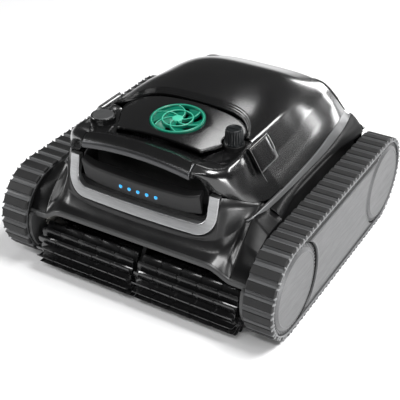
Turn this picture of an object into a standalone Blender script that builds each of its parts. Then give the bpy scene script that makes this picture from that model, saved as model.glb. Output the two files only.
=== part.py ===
"""Cordless two-track robotic pool cleaner, built as an assembly of separate named parts.

Frame: +Z up, the brush end faces -Y, origin on the floor midway between the wheel axles.
Lengths below are in metres. "side" is +1 for the right half (+X) and -1 for the left half.
"""
import math

import bmesh
import bpy
from mathutils import Vector

MM = 0.001
GAP = 0.3 * MM                      # clearance kept between neighbouring parts

# Tracks and running gear
TRACK_OUTER_X = 195.0 * MM          # outer edge of each belt
TRACK_INNER_X = 157.0 * MM          # inner edge of each belt
AXLE_Y = 137.5 * MM                 # front axle at -AXLE_Y, rear axle at +AXLE_Y
AXLE_Z = 63.75 * MM
CLEAT_HEIGHT = 3.0 * MM
CLEAT_COUNT = 51
BELT_RADIUS = AXLE_Z - CLEAT_HEIGHT  # belt surface between the cleats, round a wheel
BELT_THICKNESS = 3.5 * MM
BELT_INNER_RADIUS = BELT_RADIUS - BELT_THICKNESS
WHEEL_RADIUS = BELT_INNER_RADIUS - 2.0 * GAP
HUB_FACE_X = 196.5 * MM             # the hub caps and side covers stand just proud of the belts
HUB_RADIUS = 54.0 * MM
AXLE_RADIUS = 6.0 * MM
SIDE_PLATE_X = (151.0 * MM, 156.3 * MM)
SIDE_PLATE_RADIUS = 46.0 * MM

# Gear train: motor pinion -> wheel gear -> brush gear
WHEEL_GEAR_TEETH = 36
BRUSH_GEAR_TEETH = 20
PINION_TEETH = 12
BRUSH_Y = -170.0 * MM
BRUSH_Z = 32.0 * MM
BRUSH_RADIUS = 31.0 * MM
BRUSH_CORE_RADIUS = 8.0 * MM
BRUSH_FINS = 14
GEAR_X = (146.2 * MM, 150.5 * MM)
CENTRE_DISTANCE = math.hypot(AXLE_Y + BRUSH_Y, AXLE_Z - BRUSH_Z)
GEAR_MODULE = 2.0 * CENTRE_DISTANCE / (WHEEL_GEAR_TEETH + BRUSH_GEAR_TEETH)
MOTOR_Y = -AXLE_Y + GEAR_MODULE * (WHEEL_GEAR_TEETH + PINION_TEETH) / 2.0

# Body
SHELL = 3.0 * MM                    # wall thickness of the moulded shells
TUB_X = 143.7 * MM
TUB_FRONT = -134.0 * MM
TUB_REAR = 148.0 * MM
TUB_FLOOR_Z = 14.0 * MM
LID_REAR = 152.0 * MM
SKIRT_Z = 137.3 * MM                # lower edge of the side strips, over the tub flange
HINGE_Y = 156.5 * MM                # the lid turns about this line behind its rear edge
HINGE_Z = 179.5 * MM
HINGE_HALF = 60.0 * MM
GRILLE_CENTRE = (0.0, -80.4 * MM, 210.6 * MM)
GRILLE_RADIUS = 34.0 * MM
DECK_SLOPE = 0.062                  # the deck rises towards the rear
DECK_CROWN = 1.3                    # drop per metre squared off the centre line
KNOB_CENTRE = (81.3 * MM, -86.0 * MM)
BUTTON_CENTRE = (-90.5 * MM, -109.5 * MM)
COLLAR_RADIUS = 16.0 * MM
SOCKET_RADIUS = 12.8 * MM
BAR_HALF = 73.6 * MM
BEZEL_HALF = 97.5 * MM              # centre line of the handle bezel's legs
BEZEL_WIDTH = 13.0 * MM
LED_PITCH = 12.4 * MM
LED_Z = 153.5 * MM


# ---------------------------------------------------------------- small tools

def clear_scene():
    for old in list(bpy.data.objects):
        bpy.data.objects.remove(old, do_unlink=True)


def paint(name, rgb, roughness, metallic=0.0, glow=0.0):
    """A Principled material, made once and shared."""
    if name in bpy.data.materials:
        return bpy.data.materials[name]
    material = bpy.data.materials.new(name)
    material.use_nodes = True
    shader = material.node_tree.nodes["Principled BSDF"]
    shader.inputs["Base Color"].default_value = (*rgb, 1.0)
    shader.inputs["Roughness"].default_value = roughness
    shader.inputs["Metallic"].default_value = metallic
    if glow:
        shader.inputs["Emission Color"].default_value = (*rgb, 1.0)
        shader.inputs["Emission Strength"].default_value = glow
    return material


def gloss_black():
    return paint("gloss_black", (0.012, 0.012, 0.013), 0.15)


def dark_plastic():
    return paint("dark_plastic", (0.03, 0.03, 0.032), 0.5)


def satin_silver():
    return paint("satin_silver", (0.42, 0.43, 0.44), 0.35, 0.6)


def track_rubber():
    return paint("track_rubber", (0.045, 0.046, 0.048), 0.7)


def brush_rubber():
    return paint("brush_rubber", (0.02, 0.02, 0.021), 0.35)


def cover_grey():
    return paint("cover_grey", (0.11, 0.112, 0.115), 0.4, 0.2)


def grille_green():
    return paint("grille_green", (0.0, 0.22, 0.13), 0.35)


def led_blue():
    return paint("led_blue", (0.15, 0.6, 0.95), 0.2, glow=2.0)


def gear_white():
    return paint("gear_white", (0.6, 0.6, 0.57), 0.5)


def steel():
    return paint("steel", (0.6, 0.6, 0.6), 0.3, 1.0)


def battery_blue():
    return paint("battery_blue", (0.05, 0.12, 0.3), 0.5)


def basket_grey():
    return paint("basket_grey", (0.25, 0.26, 0.27), 0.5)


def finish_object(name, mesh, material, smooth_angle=35.0):
    obj = bpy.data.objects.new(name, mesh)
    bpy.context.scene.collection.objects.link(obj)
    if material:
        mesh.materials.append(material)
    mesh.shade_smooth()
    mesh.set_sharp_from_angle(angle=math.radians(smooth_angle))
    return obj


def from_bmesh(name, bm, material, outward=True):
    if outward:
        bmesh.ops.recalc_face_normals(bm, faces=bm.faces)
    mesh = bpy.data.meshes.new(name)
    bm.to_mesh(mesh)
    bm.free()
    return finish_object(name, mesh, material)


def put_origin(obj, point):
    """Moves the object's origin to a joint's axis and leaves its shape where it is."""
    point = Vector(point)
    for vertex in obj.data.vertices:
        vertex.co -= point
    obj.location = point
    return obj


def loft(name, rings, material, closed=False):
    """A closed body through rings of points with equal counts, capped at its ends."""
    bm = bmesh.new()
    loops = [[bm.verts.new(p) for p in ring] for ring in rings]
    count = len(loops[0])
    pairs = list(zip(loops, loops[1:]))
    if closed:
        pairs.append((loops[-1], loops[0]))
    for a, b in pairs:
        for i in range(count):
            j = (i + 1) % count
            bm.faces.new((a[i], a[j], b[j], b[i]))
    if not closed:
        bm.faces.new(loops[0])
        bm.faces.new(loops[-1])
    return from_bmesh(name, bm, material)


def sheet(name, rows, thickness, material, facing):
    """A moulded wall: a grid of points thickened away from the side that it faces."""
    bm = bmesh.new()
    grid = [[bm.verts.new(p) for p in row] for row in rows]
    for a, b in zip(grid, grid[1:]):
        for i in range(len(a) - 1):
            bm.faces.new((a[i], a[i + 1], b[i + 1], b[i]))
    total = Vector((0.0, 0.0, 0.0))
    for face in bm.faces:
        face.normal_update()
        total += face.normal * face.calc_area()
    if total.dot(Vector(facing)) < 0:
        bmesh.ops.reverse_faces(bm, faces=bm.faces)
    obj = from_bmesh(name, bm, material, outward=False)
    solid = obj.modifiers.new("wall", "SOLIDIFY")
    solid.thickness = thickness
    solid.offset = -1.0
    solid.use_quality_normals = True
    return obj


def plate(name, outline, holes, axis, low, high, material):
    """A flat plate with holes. Outline points are (y, z) for axis X and (x, y) for axis Z."""
    def place(point, level):
        if axis == "X":
            return (level, point[0], point[1])
        return (point[0], point[1], level)

    bm = bmesh.new()
    edges = []
    for loop in [outline] + holes:
        verts = [bm.verts.new(place(p, low)) for p in loop]
        edges += [bm.edges.new((a, b)) for a, b in zip(verts, verts[1:] + verts[:1])]
    bmesh.ops.triangle_fill(bm, use_beauty=True, use_dissolve=False, edges=edges)
    grown = bmesh.ops.extrude_face_region(bm, geom=list(bm.faces))
    moved = [v for v in grown["geom"] if isinstance(v, bmesh.types.BMVert)]
    shift = (high - low, 0.0, 0.0) if axis == "X" else (0.0, 0.0, high - low)
    bmesh.ops.translate(bm, verts=moved, vec=shift)
    return from_bmesh(name, bm, material)


def turned(name, profile, centre, axis, material, steps=32):
    """A body of revolution. The profile is a list of (along the axis, radius) points.
    A closed profile clear of the axis leaves a bore; one that ends on the axis is solid."""
    bm = bmesh.new()
    through = min(radius for _, radius in profile) > 0.0
    verts = []
    for along, radius in profile:
        verts.append(bm.verts.new((along, radius, 0.0) if axis == "X" else (radius, 0.0, along)))
    pairs = list(zip(verts, verts[1:]))
    if through:
        pairs.append((verts[-1], verts[0]))
    edges = [bm.edges.new(pair) for pair in pairs]
    turn_axis = (1, 0, 0) if axis == "X" else (0, 0, 1)
    bmesh.ops.spin(bm, geom=verts + edges, cent=(0, 0, 0), axis=turn_axis,
                   angle=2 * math.pi, steps=steps, use_merge=True, use_duplicate=False)
    bmesh.ops.remove_doubles(bm, verts=bm.verts, dist=1e-6)
    obj = from_bmesh(name, bm, material)
    for vertex in obj.data.vertices:
        vertex.co += Vector(centre)
    return obj


def arc(centre, radius, start, end, steps):
    """Points on a circle, in degrees, both ends included."""
    points = []
    for i in range(steps + 1):
        angle = math.radians(start + (end - start) * i / steps)
        points.append((centre[0] + radius * math.cos(angle), centre[1] + radius * math.sin(angle)))
    return points


def circle(centre, radius, steps):
    return arc(centre, radius, 0.0, 360.0, steps)[:-1]


def cut(obj, cutter):
    """Subtracts a hidden cutter from the object."""
    cutter.hide_render = True
    cutter.display_type = "WIRE"
    boolean = obj.modifiers.new("cut", "BOOLEAN")
    boolean.operation = "DIFFERENCE"
    boolean.object = cutter
    return obj


def join(obj, other):
    """Adds a hidden helper shape to the object."""
    other.hide_render = True
    other.display_type = "WIRE"
    boolean = obj.modifiers.new("join", "BOOLEAN")
    boolean.operation = "UNION"
    boolean.object = other
    return obj


def round_hole(name, centre, radius):
    """A vertical cutter that passes right through the top shells."""
    low, high = 180.0 * MM, 230.0 * MM
    profile = [(low, 0.0), (low, radius), (high, radius), (high, 0.0)]
    return turned(name, profile, (*centre, 0.0), "Z", None, 40)


def block(name, low, high, material=None):
    """An axis-aligned box between two corners."""
    (x0, y0, z0), (x1, y1, z1) = low, high
    rings = [[(x, y0, z0), (x, y1, z0), (x, y1, z1), (x, y0, z1)] for x in (x0, x1)]
    return loft(name, rings, material)


def lerp(a, b, t):
    return a + (b - a) * t


def along(curve, t):
    """Reads a piecewise-linear curve: a list of (t, value), in rising t."""
    if t <= curve[0][0]:
        return curve[0][1]
    for (t0, v0), (t1, v1) in zip(curve, curve[1:]):
        if t <= t1:
            return lerp(v0, v1, (t - t0) / (t1 - t0))
    return curve[-1][1]


def side_name(side):
    return "right" if side > 0 else "left"


# ---------------------------------------------------------------- running gear

def belt_point(distance, height):
    """A point (y, z) on the belt loop: distance runs round it from the bottom centre towards the
    front, height stands off the belt's outer surface."""
    straight = 2 * AXLE_Y
    bend = math.pi * BELT_RADIUS
    distance %= 2 * (straight + bend)
    radius = BELT_RADIUS + height
    if distance < straight / 2:
        return (-distance, AXLE_Z - radius)
    distance -= straight / 2
    if distance < bend:
        angle = distance / BELT_RADIUS
        return (-AXLE_Y - radius * math.sin(angle), AXLE_Z - radius * math.cos(angle))
    distance -= bend
    if distance < straight:
        return (-AXLE_Y + distance, AXLE_Z + radius)
    distance -= straight
    if distance < bend:
        angle = distance / BELT_RADIUS
        return (AXLE_Y + radius * math.sin(angle), AXLE_Z + radius * math.cos(angle))
    return (AXLE_Y - (distance - bend), AXLE_Z - radius)


def belt_outline():
    pitch = 2 * (2 * AXLE_Y + math.pi * BELT_RADIUS) / CLEAT_COUNT
    points = []
    for i in range(CLEAT_COUNT):
        middle = (i + 0.5) * pitch
        for offset, height in ((-0.34, 0.0), (-0.24, 1.0), (0.24, 1.0), (0.34, 0.0)):
            points.append(belt_point(middle + offset * pitch, height * CLEAT_HEIGHT))
    return points


def stadium(radius, steps):
    """A loop (y, z) round both axles at one radius."""
    return (arc((AXLE_Y, AXLE_Z), radius, -90.0, 90.0, steps)
            + arc((-AXLE_Y, AXLE_Z), radius, 90.0, 270.0, steps))


def track_belt(side):
    plate("track_belt_" + side_name(side), belt_outline(), [stadium(BELT_INNER_RADIUS, 20)],
          "X", side * TRACK_INNER_X, side * TRACK_OUTER_X, track_rubber())


def wheel(end, side):
    """A drum with a web and a boss, its hub cap and its axle, all on one axis."""
    y = -AXLE_Y if end == "front" else AXLE_Y
    centre = (0.0, y, AXLE_Z)
    label = end + "_" + side_name(side)
    bore = AXLE_RADIUS + GAP
    drum = [(158.0, WHEEL_RADIUS), (188.5, WHEEL_RADIUS), (188.5, WHEEL_RADIUS - 4.0 * MM),
            (176.0, WHEEL_RADIUS - 4.0 * MM), (176.0, 13.0 * MM), (188.5, 13.0 * MM),
            (188.5, bore), (158.0, bore), (158.0, 13.0 * MM), (171.0, 13.0 * MM),
            (171.0, WHEEL_RADIUS - 4.0 * MM), (158.0, WHEEL_RADIUS - 4.0 * MM)]
    drum = [(side * x * MM, r) for x, r in drum]
    put_origin(turned("wheel_" + label, drum, centre, "X", dark_plastic(), 40), centre)
    face = side * HUB_FACE_X
    cap = [(side * 188.9 * MM, 0.0), (side * 188.9 * MM, HUB_RADIUS - 2.0 * MM),
           (face - side * 3.0 * MM, HUB_RADIUS), (face, HUB_RADIUS - 4.0 * MM),
           (face - side * 1.2 * MM, HUB_RADIUS - 8.0 * MM), (face - side * 1.2 * MM, 0.0)]
    put_origin(turned("hub_cap_" + label, cap, centre, "X", cover_grey(), 40), centre)
    inner = GEAR_X[1] + GAP if end == "front" else TUB_X + 2.5 * MM
    rod = [(side * inner, 0.0), (side * inner, AXLE_RADIUS),
           (side * 188.6 * MM, AXLE_RADIUS), (side * 188.6 * MM, 0.0)]
    put_origin(turned("axle_" + label, rod, centre, "X", steel(), 20), centre)


def side_cover(side):
    """The panel between the wheels, hollowed to clear both hub caps."""
    reach = BELT_INNER_RADIUS - 1.0 * MM
    radius = BELT_INNER_RADIUS + 1.0 * MM
    lean = math.degrees(math.asin(reach / radius))
    outline = (arc((-AXLE_Y, AXLE_Z), radius, -lean, lean, 16)
               + arc((AXLE_Y, AXLE_Z), radius, 180.0 - lean, 180.0 + lean, 16))
    inner, outer = side * 160.0 * MM, side * HUB_FACE_X
    shoulder = side * (HUB_FACE_X - 3.0 * MM)
    middle = (0.0, AXLE_Z)

    def shrunk(scale_z):
        return [(y, middle[1] + (z - middle[1]) * scale_z) for y, z in outline]

    rings = []
    for level, scale_z in ((inner, 1.0), (shoulder, 1.0), (outer, 0.93)):
        rings.append([(level, y, z) for y, z in shrunk(scale_z)])
    loft("side_cover_" + side_name(side), rings, cover_grey())


def side_plate(side):
    """The inner plate beside each belt, with a bearing hole for each axle and the brush."""
    holes = [circle((y, AXLE_Z), AXLE_RADIUS + GAP, 20) for y in (-AXLE_Y, AXLE_Y)]
    plate("side_plate_" + side_name(side), stadium(SIDE_PLATE_RADIUS, 18), holes, "X",
          side * SIDE_PLATE_X[0], side * SIDE_PLATE_X[1], dark_plastic())


def gear_outline(teeth, centre, phase):
    """Straight-flanked spur teeth with backlash. phase turns the gear, in tooth pitches."""
    pitch_radius = GEAR_MODULE * teeth / 2.0
    tip = pitch_radius + 0.85 * GEAR_MODULE
    root = pitch_radius - 1.15 * GEAR_MODULE
    points = []
    for i in range(teeth):
        middle = 2 * math.pi * (i + phase) / teeth
        for radius, width in ((root, -0.34), (tip, -0.10), (tip, 0.10), (root, 0.34)):
            angle = middle + width * 2 * math.pi / teeth
            points.append((centre[0] + radius * math.cos(angle),
                           centre[1] + radius * math.sin(angle)))
    return points


def gear_train(side):
    """Motor pinion, wheel gear and brush gear in mesh, beside the side plate."""
    label = side_name(side)
    wheel_axis = (-AXLE_Y, AXLE_Z)
    brush_axis = (BRUSH_Y, BRUSH_Z)
    motor_axis = (MOTOR_Y, AXLE_Z)
    low, high = side * GEAR_X[0], side * GEAR_X[1]

    gear = plate("drive_gear_" + label, gear_outline(WHEEL_GEAR_TEETH, wheel_axis, 0.0), [],
                 "X", low, high, gear_white())
    put_origin(gear, (0.0, *wheel_axis))

    # A tooth of the wheel gear points at angle 0, so the pinion shows it a gap at 180 degrees.
    pinion_phase = PINION_TEETH / 2.0 + 0.5
    pinion = plate("motor_pinion_" + label, gear_outline(PINION_TEETH, motor_axis, pinion_phase),
                   [], "X", low, high, gear_white())
    put_origin(pinion, (0.0, *motor_axis))

    # Towards the brush the wheel gear's nearest tooth is off the centre line by this share of
    # its pitch, and the brush gear's gap follows it.
    bearing = math.atan2(BRUSH_Z - AXLE_Z, BRUSH_Y + AXLE_Y)
    wheel_share = (bearing / (2 * math.pi) * WHEEL_GEAR_TEETH) % 1.0
    brush_share = ((bearing + math.pi) / (2 * math.pi) * BRUSH_GEAR_TEETH) % 1.0
    brush_phase = brush_share + wheel_share + 0.5
    brush_gear = plate("brush_gear_" + label,
                       gear_outline(BRUSH_GEAR_TEETH, brush_axis, brush_phase), [],
                       "X", low, high, gear_white())
    put_origin(brush_gear, (0.0, *brush_axis))


def drive_motor(side):
    """Sealed drive motor inside the tub, its shaft boss just short of the wall."""
    centre = (0.0, MOTOR_Y, AXLE_Z)
    profile = [(side * 84.0 * MM, 0.0), (side * 84.0 * MM, 14.0 * MM), (side * 86.0 * MM, 17.0 * MM),
               (side * 134.0 * MM, 17.0 * MM), (side * 134.0 * MM, 8.0 * MM),
               (side * 139.8 * MM, 8.0 * MM), (side * 139.8 * MM, 0.0)]
    turned("drive_motor_" + side_name(side), profile, centre, "X", steel(), 24)


def brush(side):
    """One half of the front brush: a finned rubber sleeve on its core."""
    label = side_name(side)
    centre = (BRUSH_Y, BRUSH_Z)
    hub = 13.0 * MM
    outline = []
    for i in range(BRUSH_FINS):
        middle = 360.0 * i / BRUSH_FINS
        for radius, half in ((hub, 1.3 * MM), (BRUSH_RADIUS, 0.8 * MM)):
            spread = math.degrees(half / radius)
            outline.append((radius, middle - spread, middle + spread))
    points = []
    for (root, root_a, root_b), (tip, tip_a, tip_b) in zip(outline[0::2], outline[1::2]):
        for radius, angle in ((root, root_a), (tip, tip_a), (tip, tip_b), (root, root_b)):
            angle = math.radians(angle)
            points.append((centre[0] + radius * math.cos(angle),
                           centre[1] + radius * math.sin(angle)))
    bore = circle(centre, BRUSH_CORE_RADIUS + GAP, 18)
    sleeve = plate("brush_" + label, points, [bore], "X", side * 3.2 * MM, side * 143.6 * MM,
                   brush_rubber())
    put_origin(sleeve, (0.0, *centre))
    core_profile = [(side * 2.8 * MM, 0.0), (side * 2.8 * MM, BRUSH_CORE_RADIUS),
                    (side * 145.9 * MM, BRUSH_CORE_RADIUS), (side * 145.9 * MM, 0.0)]
    core = turned("brush_core_" + label, core_profile, (0.0, *centre), "X", dark_plastic(), 18)
    put_origin(core, (0.0, *centre))


def brush_centre_bearing():
    """The bracket that holds the inner ends of both brush halves."""
    outline = (arc((BRUSH_Y, BRUSH_Z), 12.0 * MM, 120.0, 300.0, 10)
               + [(TUB_FRONT - GAP, BRUSH_Z - 12.0 * MM), (TUB_FRONT - GAP, 84.0 * MM),
                  (-150.0 * MM, 84.0 * MM)])
    plate("brush_centre_bearing", outline, [], "X", -2.4 * MM, 2.4 * MM, dark_plastic())


# ---------------------------------------------------------------- body shells

def lid_shoulder_z(y):
    return along([(-0.100, 0.2035), (0.0, 0.2025), (0.035, 0.1998), (0.064, 0.1980),
                  (0.083, 0.1960), (0.105, 0.1935), (0.131, 0.1875), (0.152, 0.1825)], y)


def lid_crown_z(y):
    return along([(-0.034, 0.2180), (0.0, 0.2210), (0.030, 0.2225), (0.050, 0.2220),
                  (0.080, 0.2185), (0.100, 0.2120), (0.120, 0.2035), (0.140, 0.1955),
                  (0.152, 0.1910)], y)


def shoulder_x(y):
    return along([(-0.100, 0.0985), (0.0, 0.0995), (0.035, 0.0975), (0.083, 0.0960),
                  (0.120, 0.0940), (0.152, 0.0915)], y)


def strip_top(y):
    """Upper edge (x, z) of the side trim strip, just below the lid's edge."""
    x = along([(-0.115, 0.1370), (-0.090, 0.1405), (0.058, 0.1410), (0.088, 0.1392),
               (0.114, 0.1345), (0.145, 0.1265), (0.152, 0.1245)], y)
    z = along([(-0.115, 0.1465), (-0.090, 0.1490), (-0.050, 0.1495), (0.0, 0.1510),
               (0.034, 0.1542), (0.058, 0.1583), (0.088, 0.1615), (0.114, 0.1600),
               (0.145, 0.1525), (0.152, 0.1505)], y)
    return x, z


def strip_low(y):
    """Lower edge (x, z) of the side trim strip."""
    x = along([(-0.115, 0.1370), (-0.076, 0.1415), (0.037, 0.1425), (0.098, 0.1420),
               (0.128, 0.1390), (0.145, 0.1365)], y)
    z = along([(-0.115, 0.1385), (-0.076, 0.1397), (0.0, 0.1385), (0.037, 0.1390),
               (0.066, 0.1405), (0.098, 0.1440), (0.128, 0.1465), (0.145, 0.1495)], y)
    return x, z


def lid_section(y, share):
    """A point (x, z) of the lid: share 0 is the centre line, 1 the shoulder, 4 the strip."""
    edge_x, edge_z = shoulder_x(y), lid_shoulder_z(y)
    if share <= 1.0:
        rise = lid_crown_z(y) - edge_z
        return (edge_x * share, edge_z + rise * (1.0 - share ** 3.3))
    low_x, low_z = strip_top(y)
    t = (share - 1.0) / 3.0
    bulge = 0.8 * MM * math.sin(math.pi * t)
    return (lerp(edge_x, low_x, t) + bulge, lerp(edge_z, low_z + 0.5 * MM, t) + bulge)


def lid_front_y(share):
    """The lid's front edge: an arch behind the deck, then the seam beside the latches."""
    return along([(0.0, -0.034), (0.5, -0.035), (0.66, -0.039), (0.78, -0.048), (0.85, -0.058),
                  (0.90, -0.0735), (1.0, -0.0745), (4.0, -0.0715)], share)


def lid():
    shares = [0.0, 0.25, 0.5, 0.66, 0.78, 0.85, 0.90, 0.96, 1.0, 1.15, 2.0, 3.0, 4.0]
    shares = [-s for s in reversed(shares[1:])] + shares
    steps = [0.0, 0.13, 0.26, 0.40, 0.54, 0.66, 0.76, 0.85, 0.93, 1.0]
    rows = []
    for share in shares:
        front = lid_front_y(abs(share))
        row = []
        for step in steps:
            y = lerp(front, LID_REAR, step)
            x, z = lid_section(y, abs(share))
            row.append((math.copysign(x, share) if share else 0.0, y, z))
        rows.append(row)
    shell = sheet("lid", rows, SHELL, gloss_black(), (0, 0, 1))
    put_origin(shell, (0.0, HINGE_Y, HINGE_Z))


def lid_hinge_pin():
    profile = [(-HINGE_HALF, 0.0), (-HINGE_HALF, 1.8 * MM), (HINGE_HALF, 1.8 * MM),
               (HINGE_HALF, 0.0)]
    turned("lid_hinge_pin", profile, (0.0, HINGE_Y, HINGE_Z), "X", steel(), 12)


def deck_z(x, y):
    return GRILLE_CENTRE[2] + DECK_SLOPE * (y - GRILLE_CENTRE[1]) - DECK_CROWN * x * x


def deck_half(y):
    """Half width of the deck plate at y."""
    return along([(-0.1245, 0.059), (-0.074, 0.0858), (-0.060, 0.0858), (-0.050, 0.0800),
                  (-0.042, 0.0690), (-0.037, 0.0520)], y)


def deck_plate():
    rows = []
    for y in (-0.1245, -0.108, -0.09, -0.074, -0.060, -0.050, -0.042, -0.037):
        half = deck_half(y)
        rows.append([(half * t, y, deck_z(half * t, y))
                     for t in (-1, -0.8, -0.6, -0.4, -0.2, 0, 0.2, 0.4, 0.6, 0.8, 1)])
    deck = sheet("deck_plate", rows, 4.0 * MM, gloss_black(), (0, 0, 1))
    cut(deck, round_hole("deck_hole", GRILLE_CENTRE[:2], GRILLE_RADIUS + GAP))
    cut(deck, round_hole("deck_notch", KNOB_CENTRE, SOCKET_RADIUS + GAP))


def swirl(turn, blade, steps):
    """One curved blade of the outlet grille as a closed outline (x, y) about its centre."""
    inner, outer = 8.5 * MM, 31.0 * MM
    half = blade / 2.0
    near, far = [], []
    for i in range(steps + 1):
        radius = lerp(inner, outer, i / steps)
        angle = turn + 1.15 * (i / steps) ** 0.8
        spread = half / radius
        near.append((radius * math.cos(angle - spread), radius * math.sin(angle - spread)))
        far.append((radius * math.cos(angle + spread), radius * math.sin(angle + spread)))
    return near, far


def outlet_grille():
    """Outer ring, hub and seven swirling spokes in one moulding, with windows between them."""
    spokes = 7
    windows = []
    for i in range(spokes):
        _, start = swirl(2 * math.pi * i / spokes, 2.6 * MM, 5)
        end, _ = swirl(2 * math.pi * (i + 1) / spokes, 2.6 * MM, 5)
        windows.append(start + end[::-1])
    base = GRILLE_CENTRE[2] - 4.2 * MM
    grille = plate("outlet_grille", circle((0.0, 0.0), GRILLE_RADIUS, 40), windows, "Z",
                   base, GRILLE_CENTRE[2] - 0.2 * MM, grille_green())
    for vertex in grille.data.vertices:
        vertex.co.z += DECK_SLOPE * vertex.co.y
        vertex.co.y += GRILLE_CENTRE[1]


def outlet_duct():
    """The tube from the impeller up to the grille."""
    top = GRILLE_CENTRE[2] - DECK_SLOPE * GRILLE_RADIUS - 4.8 * MM
    profile = [(138.0 * MM, 30.5 * MM), (138.0 * MM, 33.0 * MM), (top, 33.0 * MM), (top, 30.5 * MM)]
    turned("outlet_duct", profile, (0.0, GRILLE_CENTRE[1], 0.0), "Z", dark_plastic(), 32)


def impeller():
    """Three broad blades on a hub, below the grille."""
    centre = (0.0, GRILLE_CENTRE[1])
    outline = []
    for i in range(3):
        start = 120.0 * i
        outline += arc((0.0, 0.0), 9.0 * MM, start, start + 30.0, 2)
        outline += arc((0.0, 0.0), 28.5 * MM, start + 38.0, start + 88.0, 5)
        outline += arc((0.0, 0.0), 9.0 * MM, start + 96.0, start + 104.0, 1)
    outline = [(centre[0] + x, centre[1] + y) for x, y in outline]
    blades = plate("impeller", outline, [], "Z", 150.0 * MM, 158.0 * MM, dark_plastic())
    put_origin(blades, (*centre, 0.154))


def pump_motor():
    profile = [(62.0 * MM, 0.0), (62.0 * MM, 19.0 * MM), (64.0 * MM, 21.0 * MM),
               (128.0 * MM, 21.0 * MM), (132.0 * MM, 17.0 * MM), (132.0 * MM, 4.0 * MM),
               (149.5 * MM, 4.0 * MM), (149.5 * MM, 0.0)]
    turned("pump_motor", profile, (0.0, GRILLE_CENTRE[1], 0.0), "Z", steel(), 24)


def front_face_y(x, z):
    """The body's front surface between the handle recess and the lip over the brush."""
    flat = along([(0.080, -0.1890), (0.096, -0.1920), (0.1025, -0.1915), (0.108, -0.1810),
                  (0.114, -0.1730), (0.123, -0.1705), (0.135, -0.1670), (0.152, -0.1635),
                  (0.173, -0.1590), (0.185, -0.1580)], z)
    bulge = 4.0 * MM * max(0.0, 1.0 - (x / 0.105) ** 2)
    return flat - bulge


def brow_station(t):
    """Points of the front shell on the right half: t runs 0 at the centre to 1 at the lid seam.
    Inner deck edge, valley, ridge, outer shoulder, wall middle, bottom seam."""
    def at(x, y, z):
        return (x * MM, y * MM, z * MM)

    stations = [
        (0.00, (0, -125.3, 201.5), (0, -140, 207), (0, -162.6, 217.3), (0, -162.6, 199),
         (0, -157, 196), (0, -146, 195.5)),
        (0.20, (35, -125.3, 200.4), (37, -140, 205.6), (40, -162.6, 215.4), (40, -162.6, 198),
         (40, -157, 195), (40, -146, 194.5)),
        (0.38, (59.4, -125.3, 197.5), (67, -140, 201.6), (74.3, -162.6, 210.8), (74.3, -162.6, 196),
         (74.3, -157, 193), (74.3, -146, 192.5)),
        (0.39, (60.4, -124.8, 197.5), (68, -139.5, 201.4), (75.4, -163.0, 210.7),
         (75.6, -174.6, 204.2), (82.0, -164.0, 191.0), (92.0, -159.4, 178.0)),
        (0.50, (65.0, -116, 198.0), (78, -131, 199.0), (88.0, -160.5, 208.6),
         (92.0, -168.5, 202.0), (96.0, -162.5, 187.0), (99.5, -158.4, 176.5)),
        (0.60, (70.0, -107, 198.4), (85, -124, 196.5), (98.0, -151.5, 206.0),
         (103.5, -158.0, 199.5), (107.5, -154.5, 184.0), (112.0, -149.5, 169.5)),
        (0.70, (75.5, -97, 198.6), (87, -113, 195.0), (103.0, -139.0, 204.5),
         (109.5, -142.5, 198.0), (115.5, -141.5, 180.0), (123.5, -136.5, 162.0)),
        (0.82, (81.0, -86.5, 198.6), (92, -99, 195.5), (104.0, -120.0, 203.8),
         (111.0, -120.0, 197.0), (120.0, -120.0, 176.0), (131.0, -119.0, 154.5)),
        (0.92, (86.4, -77.0, 198.6), (95, -86, 197.5), (100.5, -98.0, 203.2),
         (105.5, -98.0, 196.5), (119.5, -98.0, 173.5), (137.6, -98.5, 150.2)),
        (1.00, (88.0, -75.6, 200.5), (95, -75.6, 202.0), (98.9, -75.6, 203.2),
         (102.0, -75.6, 199.3), (120.0, -74.4, 176.0), (139.6, -73.0, 151.3)),
    ]
    for (t0, *a), (t1, *b) in zip(stations, stations[1:]):
        if t <= t1:
            share = (t - t0) / (t1 - t0)
            return [tuple(lerp(p, q, share) for p, q in zip(at(*pa), at(*pb)))
                    for pa, pb in zip(a, b)]
    return [at(*p) for p in stations[-1][1:]]


def front_shell():
    """The brow round the deck: valley, ridge and outer wall, down to the seam."""
    steps = [0.0, 0.20, 0.38, 0.39, 0.50, 0.60, 0.70, 0.82, 0.92, 1.0]
    rows = []
    for t in [-s for s in reversed(steps[1:])] + steps:
        sign = -1.0 if t < 0 else 1.0
        rows.append([(sign * x, y, z) for x, y, z in brow_station(abs(t))])
    shell = sheet("front_shell", rows, 2.4 * MM, gloss_black(), (0, -0.4, 1))
    cut(shell, round_hole("button_hole", BUTTON_CENTRE, COLLAR_RADIUS + GAP))
    cut(shell, round_hole("socket_hole", KNOB_CENTRE, SOCKET_RADIUS + GAP))


def bar_drop(x):
    return 1.25 * x * x


def handle_bar():
    """The satin grip across the front, crowned along its length."""
    section = [(-163.4, 217.6), (-175.0, 211.2), (-176.6, 209.0), (-177.0, 202.6), (-175.0, 201.2),
               (-166.5, 200.6), (-163.4, 202.5)]
    rings = []
    for i in range(13):
        x = lerp(-BAR_HALF, BAR_HALF, i / 12)
        rings.append([(x, y * MM, z * MM - bar_drop(x)) for y, z in section])
    loft("handle_bar", rings, satin_silver())


def bezel_path():
    """Centre line (x, z) of the handle bezel: down the left leg, across, up the right leg."""
    bottom, corner = 129.0 * MM, 20.0 * MM
    left = [(-BEZEL_HALF, z * MM) for z in (172.5, 166.0, 158.0)]
    turn = arc((-BEZEL_HALF + corner, bottom + corner), corner, 180.0, 270.0, 6)
    across = [(x * MM, bottom) for x in (-50.0, -25.0, 0.0)]
    half = left + turn + across
    return half + [(-x, z) for x, z in reversed(half[:-1])]


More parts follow.
